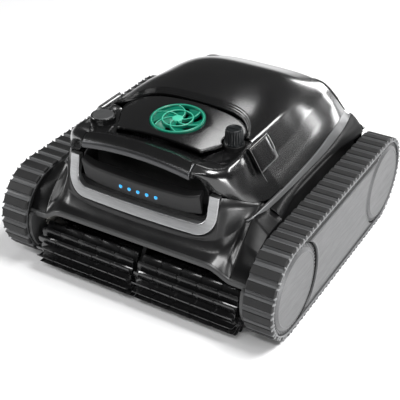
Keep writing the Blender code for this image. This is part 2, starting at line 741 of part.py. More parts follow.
def handle_bezel():
    """The satin U-frame round the handle recess."""
    path = bezel_path()
    rings = []
    for i, (x, z) in enumerate(path):
        before = path[max(i - 1, 0)]
        after = path[min(i + 1, len(path) - 1)]
        dx, dz = after[0] - before[0], after[1] - before[1]
        length = math.hypot(dx, dz)
        nx, nz = dz / length, -dx / length
        half = BEZEL_WIDTH / 2.0
        outer = (x + nx * half, z + nz * half)
        inner = (x - nx * half, z - nz * half)
        face_out = front_face_y(*outer) - 1.2 * MM
        face_in = front_face_y(*inner) - 1.2 * MM
        rings.append([(outer[0], face_out, outer[1]), (inner[0], face_in, inner[1]),
                      (inner[0], face_in + 8.0 * MM, inner[1]),
                      (outer[0], face_out + 8.0 * MM, outer[1])])
    loft("handle_bezel", rings, satin_silver())


def fascia_top(x):
    """Upper edge (y, z) of the lower fascia: round the bezel, then along the shell seam."""
    corner, radius = 77.5 * MM, 27.3 * MM
    if x < 0.1045:
        z = 149.0 * MM - math.sqrt(radius ** 2 - max(0.0, x - corner) ** 2)
        return front_face_y(x, z), z
    z = along([(0.1045, 0.1457), (0.1052, 0.1720), (0.1125, 0.1685), (0.1240, 0.1610),
               (0.1315, 0.1535), (0.1385, 0.1475), (0.1430, 0.1455), (0.1565, 0.1350)], x)
    y = along([(0.1045, -0.1645), (0.1052, -0.1590), (0.1125, -0.1495), (0.1240, -0.1365),
               (0.1315, -0.1190), (0.1385, -0.1030), (0.1565, -0.1020)], x)
    return y, z


def fascia_low(x):
    """Lower edge (y, z): the arch over the brush, then the foot beside the track."""
    z = along([(0.0, 0.0965), (0.108, 0.0965), (0.116, 0.0935), (0.128, 0.0840), (0.134, 0.0805),
               (0.1565, 0.0795)], x)
    y = along([(0.0, -0.1920), (0.111, -0.1920), (0.134, -0.1895), (0.1565, -0.1890)], x)
    return y, z


def fascia_point(x, t):
    """t runs 0 at the lip to 1 at the top edge."""
    y0, z0 = fascia_low(x)
    y1, z1 = fascia_top(x)
    lip = 6.0 * MM
    if t <= 0.15:
        return (x, y0, z0 + lip * t / 0.15)
    u = (t - 0.15) / 0.85
    flat_z = lerp(z0 + lip, z1, u)
    flat_y = front_face_y(x, flat_z) + (y1 - front_face_y(x, z1)) * u * u
    sweep = 0.38 * u * (1.0 - u)
    fender_y = lerp(y0, y1, u - sweep)
    fender_z = lerp(z0 + lip, z1, u + 0.6 * sweep)
    share = along([(0.102, 0.0), (0.124, 1.0)], x)
    return (x, lerp(flat_y, fender_y, share), lerp(flat_z, fender_z, share))


def front_fascia():
    """The lower front panel with the arch over the brush and a fender beside each track."""
    xs = [0.0, 0.040, 0.0775, 0.0880, 0.0960, 0.1015, 0.1043, 0.1052, 0.1125, 0.1240, 0.1315,
          0.1385, 0.1465, 0.1560]
    rows = []
    for x in [-x for x in reversed(xs[1:])] + xs:
        sign = -1.0 if x < 0 else 1.0
        points = [fascia_point(abs(x), t) for t in (0.0, 0.15, 0.3, 0.45, 0.6, 0.8, 1.0)]
        rows.append([(sign * px, y, z) for px, y, z in points])
    sheet("front_fascia", rows, 2.4 * MM, gloss_black(), (0, -1, 0.5))


def pocket_ring(y, inset):
    """The recess liner's outline, its upper corners cut back from the front shell."""
    right = [(88.0, 137.0), (88.0, 172.0), (79.0, 185.0), (70.0, 189.0)]
    sides = [((x - inset) * MM, z) for x, z in right]
    levels = [z + inset if z < 140.0 else z - inset for _, z in right]
    half = [(x, y, level * MM) for (x, _), level in zip(sides, levels)]
    return half + [(-x, py, z) for x, py, z in reversed(half)]


def handle_pocket():
    """The recess liner behind the bezel and under the bar: an open-fronted box."""
    liner = loft("handle_pocket", [pocket_ring(-156.5 * MM, 0.0), pocket_ring(-128.0 * MM, 0.0)],
                 dark_plastic())
    cut(liner, loft("pocket_hollow", [pocket_ring(-170.0 * MM, 3.0),
                                      pocket_ring(-131.0 * MM, 3.0)], None))


def y_peg(name, x, y0, y1, radius):
    """A round peg along Y at the height of the display's lenses."""
    rings = [[(px, y, pz) for px, pz in circle((x, LED_Z), radius, 12)] for y in (y0, y1)]
    return loft(name, rings, None)


def led_panel():
    """The display strip in the recess: a leaning face, a sloping shelf and five lens holes."""
    xs = [-82.0, -76.0, -66.0, -44.0, -22.0, 0.0, 22.0, 44.0, 66.0, 76.0, 82.0]
    rings = []
    for x in xs:
        bulge = 5.0 * (1.0 - (x / 82.0) ** 2)
        lift = 6.0 * max(0.0, (abs(x) - 60.0) / 22.0) ** 2
        face = -166.0 - bulge
        rings.append([(x * MM, (face + 3.0) * MM, (143.0 + 0.6 * lift) * MM),
                      (x * MM, (face - 2.0) * MM, (166.0 + lift) * MM),
                      (x * MM, (face + 6.0) * MM, (170.0 + lift) * MM),
                      (x * MM, -159.0 * MM, (170.0 + lift) * MM),
                      (x * MM, -159.0 * MM, (143.0 + 0.6 * lift) * MM)])
    panel = loft("led_panel", rings, dark_plastic())
    for i in range(5):
        x = (i - 2) * LED_PITCH
        cut(panel, y_peg("lens_hole_%d" % i, x, -190.0 * MM, -150.0 * MM, 2.6 * MM))


def led_light_guide():
    """One clear moulding behind the panel: a bar with a peg through each lens hole."""
    guide = block("led_light_guide", (-30.0 * MM, -158.6 * MM, 150.0 * MM),
                  (30.0 * MM, -156.4 * MM, 157.0 * MM), led_blue())
    for i in range(5):
        x = (i - 2) * LED_PITCH
        join(guide, y_peg("lens_peg_%d" % i, x, -174.0 * MM, -157.4 * MM, 2.2 * MM))


def side_trim(side):
    """The silver strip along the widest line of the body."""
    rings = []
    for y in (-0.0965, -0.076, -0.05, 0.0, 0.034, 0.058, 0.073, 0.088, 0.101, 0.114, 0.128, 0.1445):
        top_x, top_z = strip_top(y)
        low_x, low_z = strip_low(y)
        rings.append([(side * (top_x - 0.4 * MM), y, top_z - 1.3 * MM),
                      (side * low_x, y, low_z), (side * (low_x - 1.4 * MM), y, SKIRT_Z),
                      (side * (low_x - 5.0 * MM), y, SKIRT_Z),
                      (side * (top_x - 4.4 * MM), y, top_z - 4.1 * MM)])
    loft("side_trim_" + side_name(side), rings, satin_silver())


def latch(side):
    """The lid latch: a barrel on the shoulder and a flap down the flank."""
    y0, y1 = -95.5 * MM, -51.0 * MM
    section = [(102.8, 203.4), (104.0, 204.3), (108.2, 202.6), (112.4, 197.0), (124.2, 178.0),
               (122.5, 176.2), (115.6, 185.4), (106.7, 198.0)]
    rings = [[(side * x * MM, y, z * MM) for x, z in section]
             for y in (y0, lerp(y0, y1, 0.5), y1)]
    flap = loft("latch_" + side_name(side), rings, gloss_black())
    put_origin(flap, (side * 105.0 * MM, 0.5 * (y0 + y1), 202.0 * MM))


def charge_port():
    """The socket at the deck's right-hand corner and its ribbed quarter-turn cap."""
    socket = [(188.0 * MM, 7.2 * MM), (188.0 * MM, SOCKET_RADIUS), (202.0 * MM, SOCKET_RADIUS),
              (202.0 * MM, 7.2 * MM)]
    turned("charge_port_socket", socket, (*KNOB_CENTRE, 0.0), "Z", dark_plastic(), 24)
    ribs = 18
    rings = []
    base = 202.4 * MM
    for z, radius in ((base, 12.5 * MM), (base + 2.0 * MM, 12.5 * MM),
                      (base + 2.4 * MM, 11.7 * MM), (base + 18.0 * MM, 10.5 * MM),
                      (base + 19.6 * MM, 9.2 * MM)):
        ring = []
        for i in range(ribs):
            for offset, depth in ((-0.3, 0.7 * MM), (-0.2, 0.0), (0.2, 0.0), (0.3, 0.7 * MM)):
                angle = 2 * math.pi * (i + offset) / ribs
                reach = radius - depth
                ring.append((KNOB_CENTRE[0] + reach * math.cos(angle),
                             KNOB_CENTRE[1] + reach * math.sin(angle), z))
        rings.append(ring)
    cap = loft("charge_port_cap", rings, paint("knob_rubber", (0.02, 0.024, 0.03), 0.55))
    put_origin(cap, (*KNOB_CENTRE, base))


def power_button():
    """The push button in the left-hand pocket and its collar."""
    centre = (*BUTTON_CENTRE, 0.0)
    bore = 14.2 * MM
    collar = [(188.0 * MM, bore), (188.0 * MM, COLLAR_RADIUS), (203.0 * MM, COLLAR_RADIUS),
              (204.5 * MM, COLLAR_RADIUS - 1.4 * MM), (204.5 * MM, bore)]
    turned("button_collar", collar, centre, "Z", dark_plastic(), 28)
    disc = [(194.0 * MM, 0.0), (194.0 * MM, 13.8 * MM), (204.6 * MM, 13.8 * MM),
            (205.8 * MM, 12.6 * MM), (205.8 * MM, 0.0)]
    put_origin(turned("power_button", disc, centre, "Z", cover_grey(), 28),
               (*BUTTON_CENTRE, 200.0 * MM))


# ---------------------------------------------------------------- lower body and contents

def tub_half_section():
    """Right half of the tub's wall (x, z), outside going up then inside coming down."""
    wall = 2.6 * MM
    outside = [(0.0, TUB_FLOOR_Z), (TUB_X - 6.0 * MM, TUB_FLOOR_Z), (TUB_X, TUB_FLOOR_Z + 6.0 * MM),
               (TUB_X, 126.0 * MM), (148.0 * MM, 130.0 * MM), (148.0 * MM, 133.0 * MM),
               (139.0 * MM, 136.5 * MM)]
    inside = [(137.0 * MM, 134.0 * MM), (TUB_X - wall, 129.0 * MM),
              (TUB_X - wall, TUB_FLOOR_Z + 7.0 * MM),
              (TUB_X - 7.0 * MM, TUB_FLOOR_Z + wall), (0.0, TUB_FLOOR_Z + wall)]
    return outside, inside


def chassis_tub():
    """The open-topped tub between the tracks that holds everything inside."""
    outside, inside = tub_half_section()
    ring = ([(-x, z) for x, z in reversed(outside)] + outside[1:] + inside
            + [(-x, z) for x, z in reversed(inside[:-1])])
    tub = loft("chassis_tub", [[(x, y, z) for x, z in ring] for y in (TUB_FRONT, TUB_REAR)],
               dark_plastic())
    inset = 1.0 * MM
    for name, y0, y1, top in (("front_wall", TUB_FRONT - 0.01 * MM, TUB_FRONT + 2.6 * MM, 126.0),
                              ("rear_wall", TUB_REAR - 2.6 * MM, TUB_REAR + 0.01 * MM, 126.0)):
        join(tub, block(name, (-TUB_X + inset, y0, TUB_FLOOR_Z + inset),
                        (TUB_X - inset, y1, top * MM)))
    for side in (1, -1):
        cut(tub, block("fender_room_%d" % side, (side * 136.0 * MM, -136.0 * MM, 124.5 * MM),
                       (side * 150.0 * MM, -97.0 * MM, 140.0 * MM)))
    cut(tub, block("intake_slot", (-62.0 * MM, 2.0 * MM, 5.0 * MM), (62.0 * MM, 26.0 * MM, 25.0 * MM)))
    return tub


def intake_flap():
    """The flap over the intake slot: it swings up into the body as water is drawn in."""
    flap = block("intake_flap", (-66.0 * MM, -1.0 * MM, 17.0 * MM), (66.0 * MM, 30.0 * MM, 18.6 * MM),
                 dark_plastic())
    put_origin(flap, (0.0, 30.0 * MM, 17.8 * MM))


def filter_basket():
    """The debris basket: an open-topped tray with an inlet neck over the intake."""
    low = (-98.0 * MM, -36.0 * MM, 52.0 * MM)
    high = (98.0 * MM, 78.0 * MM, 176.0 * MM)
    basket = block("filter_basket", low, high, basket_grey())
    wall = 2.5 * MM
    cut(basket, block("basket_hollow", (low[0] + wall, low[1] + wall, low[2] + wall),
                      (high[0] - wall, high[1] - wall, high[2] + 0.02)))
    cut(basket, block("basket_inlet", (-50.0 * MM, 4.0 * MM, 40.0 * MM), (50.0 * MM, 24.0 * MM, 60.0 * MM)))


def battery_pack():
    block("battery_pack", (-78.0 * MM, -128.0 * MM, 17.6 * MM), (78.0 * MM, -12.0 * MM, 40.0 * MM),
          battery_blue())


def control_box():
    block("control_box", (-70.0 * MM, -128.0 * MM, 48.0 * MM), (70.0 * MM, -108.0 * MM, 112.0 * MM),
          dark_plastic())


def rear_panel():
    """The body behind the lid: from the hinge line down to the tail, wrapping to the sides."""
    shares = [0.0, 0.35, 0.7, 0.88, 1.0, 1.6, 2.4, 3.2, 4.0]
    widest, _ = lid_section(LID_REAR, 4.0)
    levels = [(0.0, 0.1533), (0.22, 0.1605), (0.55, 0.1665), (1.0, 0.1700)]
    skirt = [(0.122, 0.1710), (0.112, 0.1710), (0.060, 0.1680), (0.030, 0.1640)]
    rows = []
    for share in [-s for s in reversed(shares[1:])] + shares:
        top_x, top_z = lid_section(LID_REAR, abs(share))
        top_z -= 12.5 * MM
        edge = top_x / widest
        tuck = 12.0 * MM * edge ** 4
        row = []
        for drop, y in levels:
            row.append((lerp(top_x, 154.5 * MM * edge, drop), y - tuck * drop,
                        lerp(top_z, 0.1280, drop)))
        for z, y in skirt:
            row.append((150.3 * MM * edge, y - tuck, z))
        rows.append([(math.copysign(x, share) if share else 0.0, y, z) for x, y, z in row])
    panel = sheet("rear_panel", rows, 2.4 * MM, gloss_black(), (0, 1, 0))
    for side in (1, -1):
        join(panel, block("hinge_lug_%d" % side, (side * (HINGE_HALF + GAP), 153.8 * MM, 168.0 * MM),
                          (side * (HINGE_HALF + 6.0 * MM), 159.2 * MM, 181.3 * MM)))


def build():
    clear_scene()
    for side in (1, -1):
        track_belt(side)
        for end in ("front", "rear"):
            wheel(end, side)
        side_cover(side)
        side_plate(side)
        gear_train(side)
        drive_motor(side)
        brush(side)
        side_trim(side)
        latch(side)
    brush_centre_bearing()
    chassis_tub()
    intake_flap()
    battery_pack()
    control_box()
    filter_basket()
    pump_motor()
    impeller()
    outlet_duct()
    outlet_grille()
    deck_plate()
    front_shell()
    handle_bar()
    handle_bezel()
    handle_pocket()
    led_panel()
    led_light_guide()
    front_fascia()
    lid()
    lid_hinge_pin()
    charge_port()
    power_button()
    rear_panel()


build()
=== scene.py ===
"""Looks of the two-track robotic pool cleaner: shells, trim, tracks and materials round its CAD frame.

Lengths are in metres in the frame of the CAD part: +Z up, brush end towards -Y, floor at Z 0.
Outlines given in millimetres go through mm() or are multiplied by MM.
"""
import math

import bmesh
import bpy
import numpy as np
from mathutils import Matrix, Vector


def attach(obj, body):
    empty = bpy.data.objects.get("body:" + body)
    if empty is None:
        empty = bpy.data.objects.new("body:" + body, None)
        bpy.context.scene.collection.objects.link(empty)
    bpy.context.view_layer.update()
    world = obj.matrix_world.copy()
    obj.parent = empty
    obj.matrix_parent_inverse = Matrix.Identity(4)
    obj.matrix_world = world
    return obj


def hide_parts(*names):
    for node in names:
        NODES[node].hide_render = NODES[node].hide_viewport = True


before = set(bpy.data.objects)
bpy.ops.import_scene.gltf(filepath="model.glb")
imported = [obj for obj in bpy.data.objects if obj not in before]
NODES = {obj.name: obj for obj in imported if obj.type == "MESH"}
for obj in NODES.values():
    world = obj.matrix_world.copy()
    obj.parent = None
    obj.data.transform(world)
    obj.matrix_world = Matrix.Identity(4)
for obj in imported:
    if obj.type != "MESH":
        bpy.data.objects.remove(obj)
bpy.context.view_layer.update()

MM = 0.001
SIDES = ((1, "right"), (-1, "left"))


# ---------------------------------------------------------------- small tools

def mm(points):
    """Points given in millimetres, as points in metres."""
    return [tuple(c * MM for c in point) for point in points]


def flat(rows):
    """The points of all rows in one list."""
    return [point for row in rows for point in row]


def quads(rows, columns, wrap_rows=False, wrap_columns=False, base=0):
    """Faces between neighbouring points of a grid whose first point has index base."""
    faces = []
    for r in range(rows if wrap_rows else rows - 1):
        here, ahead = base + r * columns, base + (r + 1) % rows * columns
        for i in range(columns if wrap_columns else columns - 1):
            j = (i + 1) % columns
            faces.append((here + i, here + j, ahead + j, ahead + i))
    return faces


def curve_at(knots, t):
    """A smooth curve through knots (t, value, value...) that never overshoots them."""
    times = [k[0] for k in knots]
    values = [np.array(k[1:], float) for k in knots]
    t = min(max(t, times[0]), times[-1])
    i = min(max(np.searchsorted(times, t) - 1, 0), len(knots) - 2)

    def chord(k):
        return (values[k + 1] - values[k]) / (times[k + 1] - times[k])

    def slope(k):
        if k == 0:
            return chord(0)
        if k == len(knots) - 1:
            return chord(k - 1)
        before, after = chord(k - 1), chord(k)
        total = np.where(before + after == 0.0, 1.0, before + after)
        return np.where(before * after > 0.0, 2.0 * before * after / total, 0.0)

    h = times[i + 1] - times[i]
    u = (t - times[i]) / h
    a, b = values[i], values[i + 1]
    out = ((2 * u ** 3 - 3 * u ** 2 + 1) * a + (u ** 3 - 2 * u ** 2 + u) * h * slope(i)
           + (-2 * u ** 3 + 3 * u ** 2) * b + (u ** 3 - u ** 2) * h * slope(i + 1))
    return out if len(out) > 1 else float(out[0])


def mix(a, b, t):
    """The value a share t of the way from a to b."""
    return a + (b - a) * t


def rounded(points, radii, steps=4):
    """A polyline whose inner corners are replaced by arcs, always with the same point count."""
    points = [np.array(p, float) for p in points]
    out = [points[0]]
    for i in range(1, len(points) - 1):
        corner, back, ahead = points[i], points[i - 1] - points[i], points[i + 1] - points[i]
        cut_back = min(radii[i - 1], 0.45 * np.linalg.norm(back))
        cut_ahead = min(radii[i - 1], 0.45 * np.linalg.norm(ahead))
        start = corner + back / np.linalg.norm(back) * cut_back
        end = corner + ahead / np.linalg.norm(ahead) * cut_ahead
        for k in range(steps + 1):
            u = k / steps
            out.append((1 - u) ** 2 * start + 2 * u * (1 - u) * corner + u ** 2 * end)
    out.append(points[-1])
    return out


def resample(points, count):
    """The polyline at evenly spaced lengths."""
    points = np.array(points, float)
    lengths = np.concatenate([[0], np.cumsum(np.linalg.norm(np.diff(points, axis=0), axis=1))])
    wanted = np.linspace(0, lengths[-1], count)
    return [np.array([np.interp(w, lengths, points[:, k]) for k in range(points.shape[1])])
            for w in wanted]


def make(name, verts, faces, material, angle=35.0):
    """A smooth-shaded object from points and faces, creased where faces turn by more than angle."""
    mesh = bpy.data.meshes.new(name)
    mesh.from_pydata([tuple(float(c) for c in v) for v in verts], [], faces)
    bm = bmesh.new()
    bm.from_mesh(mesh)
    bmesh.ops.remove_doubles(bm, verts=bm.verts, dist=1e-6)
    bmesh.ops.recalc_face_normals(bm, faces=bm.faces)
    bm.to_mesh(mesh)
    bm.free()
    mesh.materials.append(material)
    mesh.shade_smooth()
    mesh.set_sharp_from_angle(angle=math.radians(angle))
    obj = bpy.data.objects.new(name, mesh)
    bpy.context.scene.collection.objects.link(obj)
    return obj


def place(obj, body, slot, *nodes):
    """Rides on a body and stands for the named CAD nodes. The slot is not used."""
    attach(obj, body)
    if nodes:
        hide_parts(*nodes)
    return obj


def bevel(obj, width, segments=2, angle=35.0):
    """Rounds the edges where faces turn by more than angle."""
    modifier = obj.modifiers.new("bevel", "BEVEL")
    modifier.width = width
    modifier.segments = segments
    modifier.limit_method = "ANGLE"
    modifier.angle_limit = math.radians(angle)
    return obj


def wall(obj, thickness, offset=-1.0):
    """Thickens a surface backwards, or forwards with an offset of 1."""
    modifier = obj.modifiers.new("wall", "SOLIDIFY")
    modifier.thickness = thickness
    modifier.offset = offset
    return modifier


def face_towards(obj, facing):
    """Turns a surface's faces over if they look away from a direction."""
    total = sum((p.normal * p.area for p in obj.data.polygons), Vector())
    if total.dot(Vector(facing)) < 0:
        obj.data.flip_normals()


def grid(name, rows, material, facing, thickness=2.4 * MM, edge=0.7 * MM):
    """A moulded wall through rows of points: solid, with rolled edges, facing the given way."""
    obj = make(name, flat(rows), quads(len(rows), len(rows[0])), material, 50.0)
    face_towards(obj, facing)
    wall(obj, thickness).use_quality_normals = True
    if edge:
        bevel(obj, edge, 3, 50.0)
    return obj


def loft(name, rings, material, closed=False, angle=35.0):
    """A closed body through rings of points, capped at its ends unless it closes on itself."""
    count, total = len(rings[0]), len(rings)
    faces = quads(total, count, closed, True)
    if not closed:
        faces.append(tuple(range(count)))
        faces.append(tuple(range((total - 1) * count, total * count)))
    return make(name, flat(rings), faces, material, angle)


def add_body(target, rings):
    """Adds a capped body through rings to a mesh that is still lists of points and faces."""
    verts, faces = target
    base, count = len(verts), len(rings[0])
    verts.extend(flat(rings))
    faces.extend(quads(len(rings), count, False, True, base))
    faces.append(tuple(range(base, base + count)))
    faces.append(tuple(range(len(verts) - count, len(verts))))


def turned(name, profile, centre, axis, material, steps=64, angle=35.0):
    """A body of revolution from (along, radius) points about an axis through centre."""
    rings = []
    for i in range(steps):
        a = 2 * math.pi * i / steps
        ring = []
        for along, radius in profile:
            across = (radius * math.cos(a), radius * math.sin(a))
            point = (along, *across) if axis == "X" else (*across, along)
            ring.append(np.array(centre) + point)
        rings.append(ring)
    hollow = min(radius for _, radius in profile) > 0.0
    return make(name, flat(rings), quads(steps, len(profile), True, hollow), material, angle)


def both_sides(columns):
    """Columns from the middle outwards, and their mirror images before them."""
    return [mirrored(c, -1) for c in reversed(columns[1:])] + [mirrored(c, 1) for c in columns]


def arc(centre, radius, start, end, steps):
    """Points on a circle between two angles in degrees, ends included."""
    angles = np.radians(np.linspace(start, end, steps + 1))
    return [(centre[0] + radius * math.cos(a), centre[1] + radius * math.sin(a)) for a in angles]


def mirrored(points, side):
    """The points on the given side: 1 as they are, -1 mirrored across the middle."""
    return [(side * p[0], p[1], p[2]) for p in points]


# ---------------------------------------------------------------- materials

class Shader:
    """A Principled material whose colour, roughness and bump come from procedural noise."""

    def __init__(self, name, metallic=0.0, coat=0.0, coat_roughness=0.05, specular=0.5):
        self.material = bpy.data.materials.new(name)
        self.material.use_nodes = True
        self.tree = self.material.node_tree
        self.surface = self.tree.nodes["Principled BSDF"].inputs
        for field, value in (("Metallic", metallic), ("Coat Weight", coat),
                             ("Coat Roughness", coat_roughness), ("Specular IOR Level", specular)):
            self.surface[field].default_value = value
        self.place = self.node("TexCoord").outputs["Object"]

    def node(self, kind, **values):
        """Adds a node and sets its inputs, whose names have _ for each space."""
        node = self.tree.nodes.new("ShaderNode" + kind)
        for field, value in values.items():
            node.inputs[field.replace("_", " ")].default_value = value
        return node

    def link(self, output, field):
        """Feeds a node's output to an input."""
        self.tree.links.new(output, field)

    def mapped(self, **values):
        """The object's coordinates, scaled or turned."""
        node = self.node("Mapping", **values)
        self.link(self.place, node.inputs["Vector"])
        return node.outputs["Vector"]

    def noise(self, scale, detail=4.0, stretch=None):
        """Cloudy noise, drawn out along an axis by stretch."""
        node = self.node("TexNoise", Scale=scale, Detail=detail)
        self.link(self.mapped(Scale=stretch) if stretch else self.place, node.inputs["Vector"])
        return node.outputs["Fac"]

    def colours(self, value, low, high, at=(0.35, 0.65)):
        """Base colour from low to high as value passes between the two places."""
        ramp = self.node("ValToRGB")
        for element, position, colour in zip(ramp.color_ramp.elements, at, (low, high)):
            element.position = position
            element.color = (*colour, 1.0)
        self.link(value, ramp.inputs["Fac"])
        self.link(ramp.outputs["Color"], self.surface["Base Color"])

    def roughness(self, value, low, high):
        """Roughness from low to high with value."""
        spread = self.node("MapRange", From_Min=0.3, From_Max=0.7, To_Min=low, To_Max=high)
        self.link(value, spread.inputs["Value"])
        self.link(spread.outputs["Result"], self.surface["Roughness"])

    def bump(self, value, strength, distance):
        """Relief from value, in metres of distance."""
        node = self.node("Bump", Strength=strength, Distance=distance)
        self.link(value, node.inputs["Height"])
        self.link(node.outputs["Normal"], self.surface["Normal"])


def moulded(name, low, high, rough, metallic=0.0, coat=0.0, grain=900.0, grain_bump=0.08,
            coat_roughness=0.05, specular=0.5):
    """Plastic or rubber: cloudy tint, uneven gloss and a fine moulded grain."""
    shader = Shader(name, metallic, coat, coat_roughness, specular)
    shader.colours(shader.noise(14.0), low, high)
    shader.roughness(shader.noise(60.0), rough[0], rough[1])
    shader.bump(shader.noise(grain, 2.0), grain_bump, 0.0002)
    return shader.material


def brushed(name, low, high, rough, stretch, metallic=0.9):
    """Satin metal paint with a faint lengthwise brushing."""
    shader = Shader(name, metallic)
    streaks = shader.noise(900.0, 3.0, stretch)
    shader.colours(streaks, low, high)
    shader.roughness(shader.noise(300.0, 3.0, stretch), rough[0], rough[1])
    shader.bump(streaks, 0.05, 0.00012)
    return shader.material


GLOSS = moulded("shell_gloss", (0.0042, 0.0042, 0.0044), (0.0056, 0.0056, 0.0058), (0.195, 0.215),
                coat=0.5, grain=60.0, grain_bump=0.004, coat_roughness=0.14, specular=0.7)
FASCIA = moulded("fascia_satin", (0.0065, 0.0065, 0.0068), (0.0090, 0.0090, 0.0093), (0.28, 0.34),
                 coat=0.12, grain=1400.0, grain_bump=0.012, coat_roughness=0.22,
                 specular=0.4)
# Darker, duller copy of the shell's black for the fenders and sills: painted shade.
FENDER = moulded("fender_painted_shade", (0.0040, 0.0040, 0.0042), (0.0060, 0.0060, 0.0062), (0.30, 0.36),
                 grain=1400.0, grain_bump=0.012, specular=0.12)
GUNMETAL = brushed("gunmetal_satin", (0.070, 0.071, 0.074), (0.085, 0.086, 0.089), (0.26, 0.33),
                   (0.06, 1.0, 1.0), 0.85)
SATIN_DARK = moulded("satin_dark", (0.008, 0.008, 0.0084), (0.012, 0.012, 0.0124), (0.36, 0.44),
                     specular=0.35)
MATT_DARK = moulded("matt_dark", (0.004, 0.004, 0.0042), (0.007, 0.007, 0.0072), (0.55, 0.68),
                    grain=700.0, grain_bump=0.2)
# Pale teeth: painted highlight standing for light catching the belt's edge teeth and the hub teeth.
TEETH_PAINTED_HIGHLIGHT = moulded("teeth_painted_highlight", (0.17, 0.172, 0.175), (0.21, 0.212, 0.215), (0.40, 0.50))
STRIP = moulded("strip_satin", (0.13, 0.132, 0.135), (0.16, 0.162, 0.165), (0.30, 0.36),
                metallic=0.25, grain_bump=0.03)
SILVER = brushed("silver_satin", (0.42, 0.425, 0.43), (0.49, 0.495, 0.50), (0.30, 0.38),
                 (0.06, 1.0, 1.0))
COVER = brushed("cover_satin", (0.105, 0.106, 0.108), (0.130, 0.131, 0.133), (0.36, 0.44),
                (1.0, 0.08, 1.0), 0.45)
# Belt rubber painted lighter than the tread: painted light standing for the lit cleat flanks and the valleys
# between cleats.
CARCASS_PAINTED_LIGHT = moulded("track_rubber_carcass_painted_light", (0.062, 0.063, 0.065), (0.082, 0.083, 0.085), (0.42, 0.55),
                  grain=420.0, grain_bump=0.35)
TRACK = moulded("track_rubber_ribbed", (0.010, 0.010, 0.0102), (0.015, 0.015, 0.0154), (0.50, 0.62),
                grain=420.0, grain_bump=0.35, specular=0.35)
BRUSH = moulded("brush_rubber_gloss", (0.008, 0.008, 0.0085), (0.013, 0.013, 0.0135), (0.20, 0.30),
                coat=0.3, grain=500.0, grain_bump=0.06, coat_roughness=0.12)
BRUSH_CORE = moulded("brush_core_gloss", (0.010, 0.010, 0.0105), (0.015, 0.015, 0.0155),
                     (0.16, 0.22), coat=0.6, grain=500.0, grain_bump=0.02, coat_roughness=0.10)
GREEN = moulded("grille_emerald", (0.000, 0.120, 0.072), (0.000, 0.150, 0.090), (0.26, 0.34),
                coat=0.2, coat_roughness=0.15)
MINT = moulded("grille_mint", (0.055, 0.44, 0.29), (0.075, 0.50, 0.34), (0.28, 0.36))
KNOB = moulded("knob_rubber_ribbed", (0.003, 0.0042, 0.0050), (0.0045, 0.006, 0.007), (0.34, 0.44),
               grain=900.0, grain_bump=0.2, specular=0.3)
# Light grey lip: painted highlight along the fascia's lower edge over the brush.
LIP_PAINTED_HIGHLIGHT = moulded("lip_painted_highlight", (0.040, 0.0405, 0.041), (0.050, 0.0505, 0.051), (0.32, 0.40),
                    metallic=0.3)
SATIN_ARM = moulded("satin_arm", (0.045, 0.0455, 0.046), (0.055, 0.0555, 0.056), (0.35, 0.45))
BUTTON = brushed("button_satin", (0.060, 0.061, 0.062), (0.075, 0.076, 0.077), (0.42, 0.5),
                 (1.0, 0.1, 1.0), 0.3)
STEEL = brushed("steel_brushed", (0.48, 0.48, 0.49), (0.56, 0.56, 0.57), (0.24, 0.32),
                (0.08, 1.0, 1.0), 1.0)
GEAR = moulded("gear_nylon", (0.58, 0.57, 0.53), (0.66, 0.65, 0.61), (0.42, 0.52))
BATTERY = moulded("battery_sleeve", (0.030, 0.085, 0.24), (0.045, 0.110, 0.29), (0.30, 0.42))
BASKET_FRAME = moulded("basket_frame", (0.055, 0.056, 0.058), (0.075, 0.076, 0.078), (0.38, 0.48))


def meshed(name, open_colour, thread_colour):
    """Fine woven filter mesh: a close grid of threads with rounded relief."""
    shader = Shader(name)
    threads = shader.node("Math")
    threads.operation = "MAXIMUM"
    for socket, direction in zip(threads.inputs, ("X", "Z")):
        wave = shader.node("TexWave", Scale=95.0)
        wave.bands_direction = direction
        shader.link(shader.mapped(Rotation=(0.0, 0.0, math.radians(45.0))), wave.inputs["Vector"])
        shader.link(wave.outputs["Fac"], socket)
    relief = threads.outputs["Value"]
    shader.colours(relief, open_colour, thread_colour, (0.55, 0.85))
    shader.roughness(shader.noise(60.0), 0.45, 0.60)
    shader.bump(relief, 0.5, 0.0004)
    return shader.material


BASKET = meshed("basket_mesh", (0.030, 0.031, 0.032), (0.20, 0.21, 0.22))


def glowing(name, rgb, strength):
    """A lit lens: its colour also glows."""
    shader = Shader(name)
    value = shader.noise(500.0)
    shader.colours(value, tuple(c * 0.85 for c in rgb), rgb)
    shader.roughness(value, 0.15, 0.25)
    shader.surface["Emission Color"].default_value = (*rgb, 1.0)
    shader.surface["Emission Strength"].default_value = strength
    return shader.material


LED = glowing("led_lens", (0.025, 0.30, 0.62), 1.0)


# ---------------------------------------------------------------- lid

LID_REAR = 0.152
# Stations across the lid: 0 the middle, 1 the shoulder line, 4 the strip.
CROWN_SHARES = [0.0, 0.1, 0.2, 0.3, 0.4, 0.5, 0.58, 0.66, 0.72, 0.78, 0.82, 0.86, 0.90, 0.94]
LID_SHARES = CROWN_SHARES + [mix(0.97, 4.0, k / 18.0) for k in range(19)]
# The stepped front edge: (depth behind it, drop) in millimetres.
TERRACE = [(0.0, 3.6), (2.5, 3.5), (2.9, 2.4), (5.6, 2.3), (6.0, 1.2), (8.8, 1.1), (9.2, 0.0),
           (12.0, 0.0)]


def lid_shoulder(y):
    """Shoulder line (x, z) of the lid."""
    return curve_at([(-0.100, 0.0985, 0.2035), (0.0, 0.0993, 0.2025), (0.035, 0.0978, 0.1998),
                     (0.064, 0.0968, 0.1980), (0.083, 0.0960, 0.1960), (0.105, 0.0948, 0.1930),
                     (0.131, 0.0932, 0.1875), (0.152, 0.0915, 0.1825)], y)


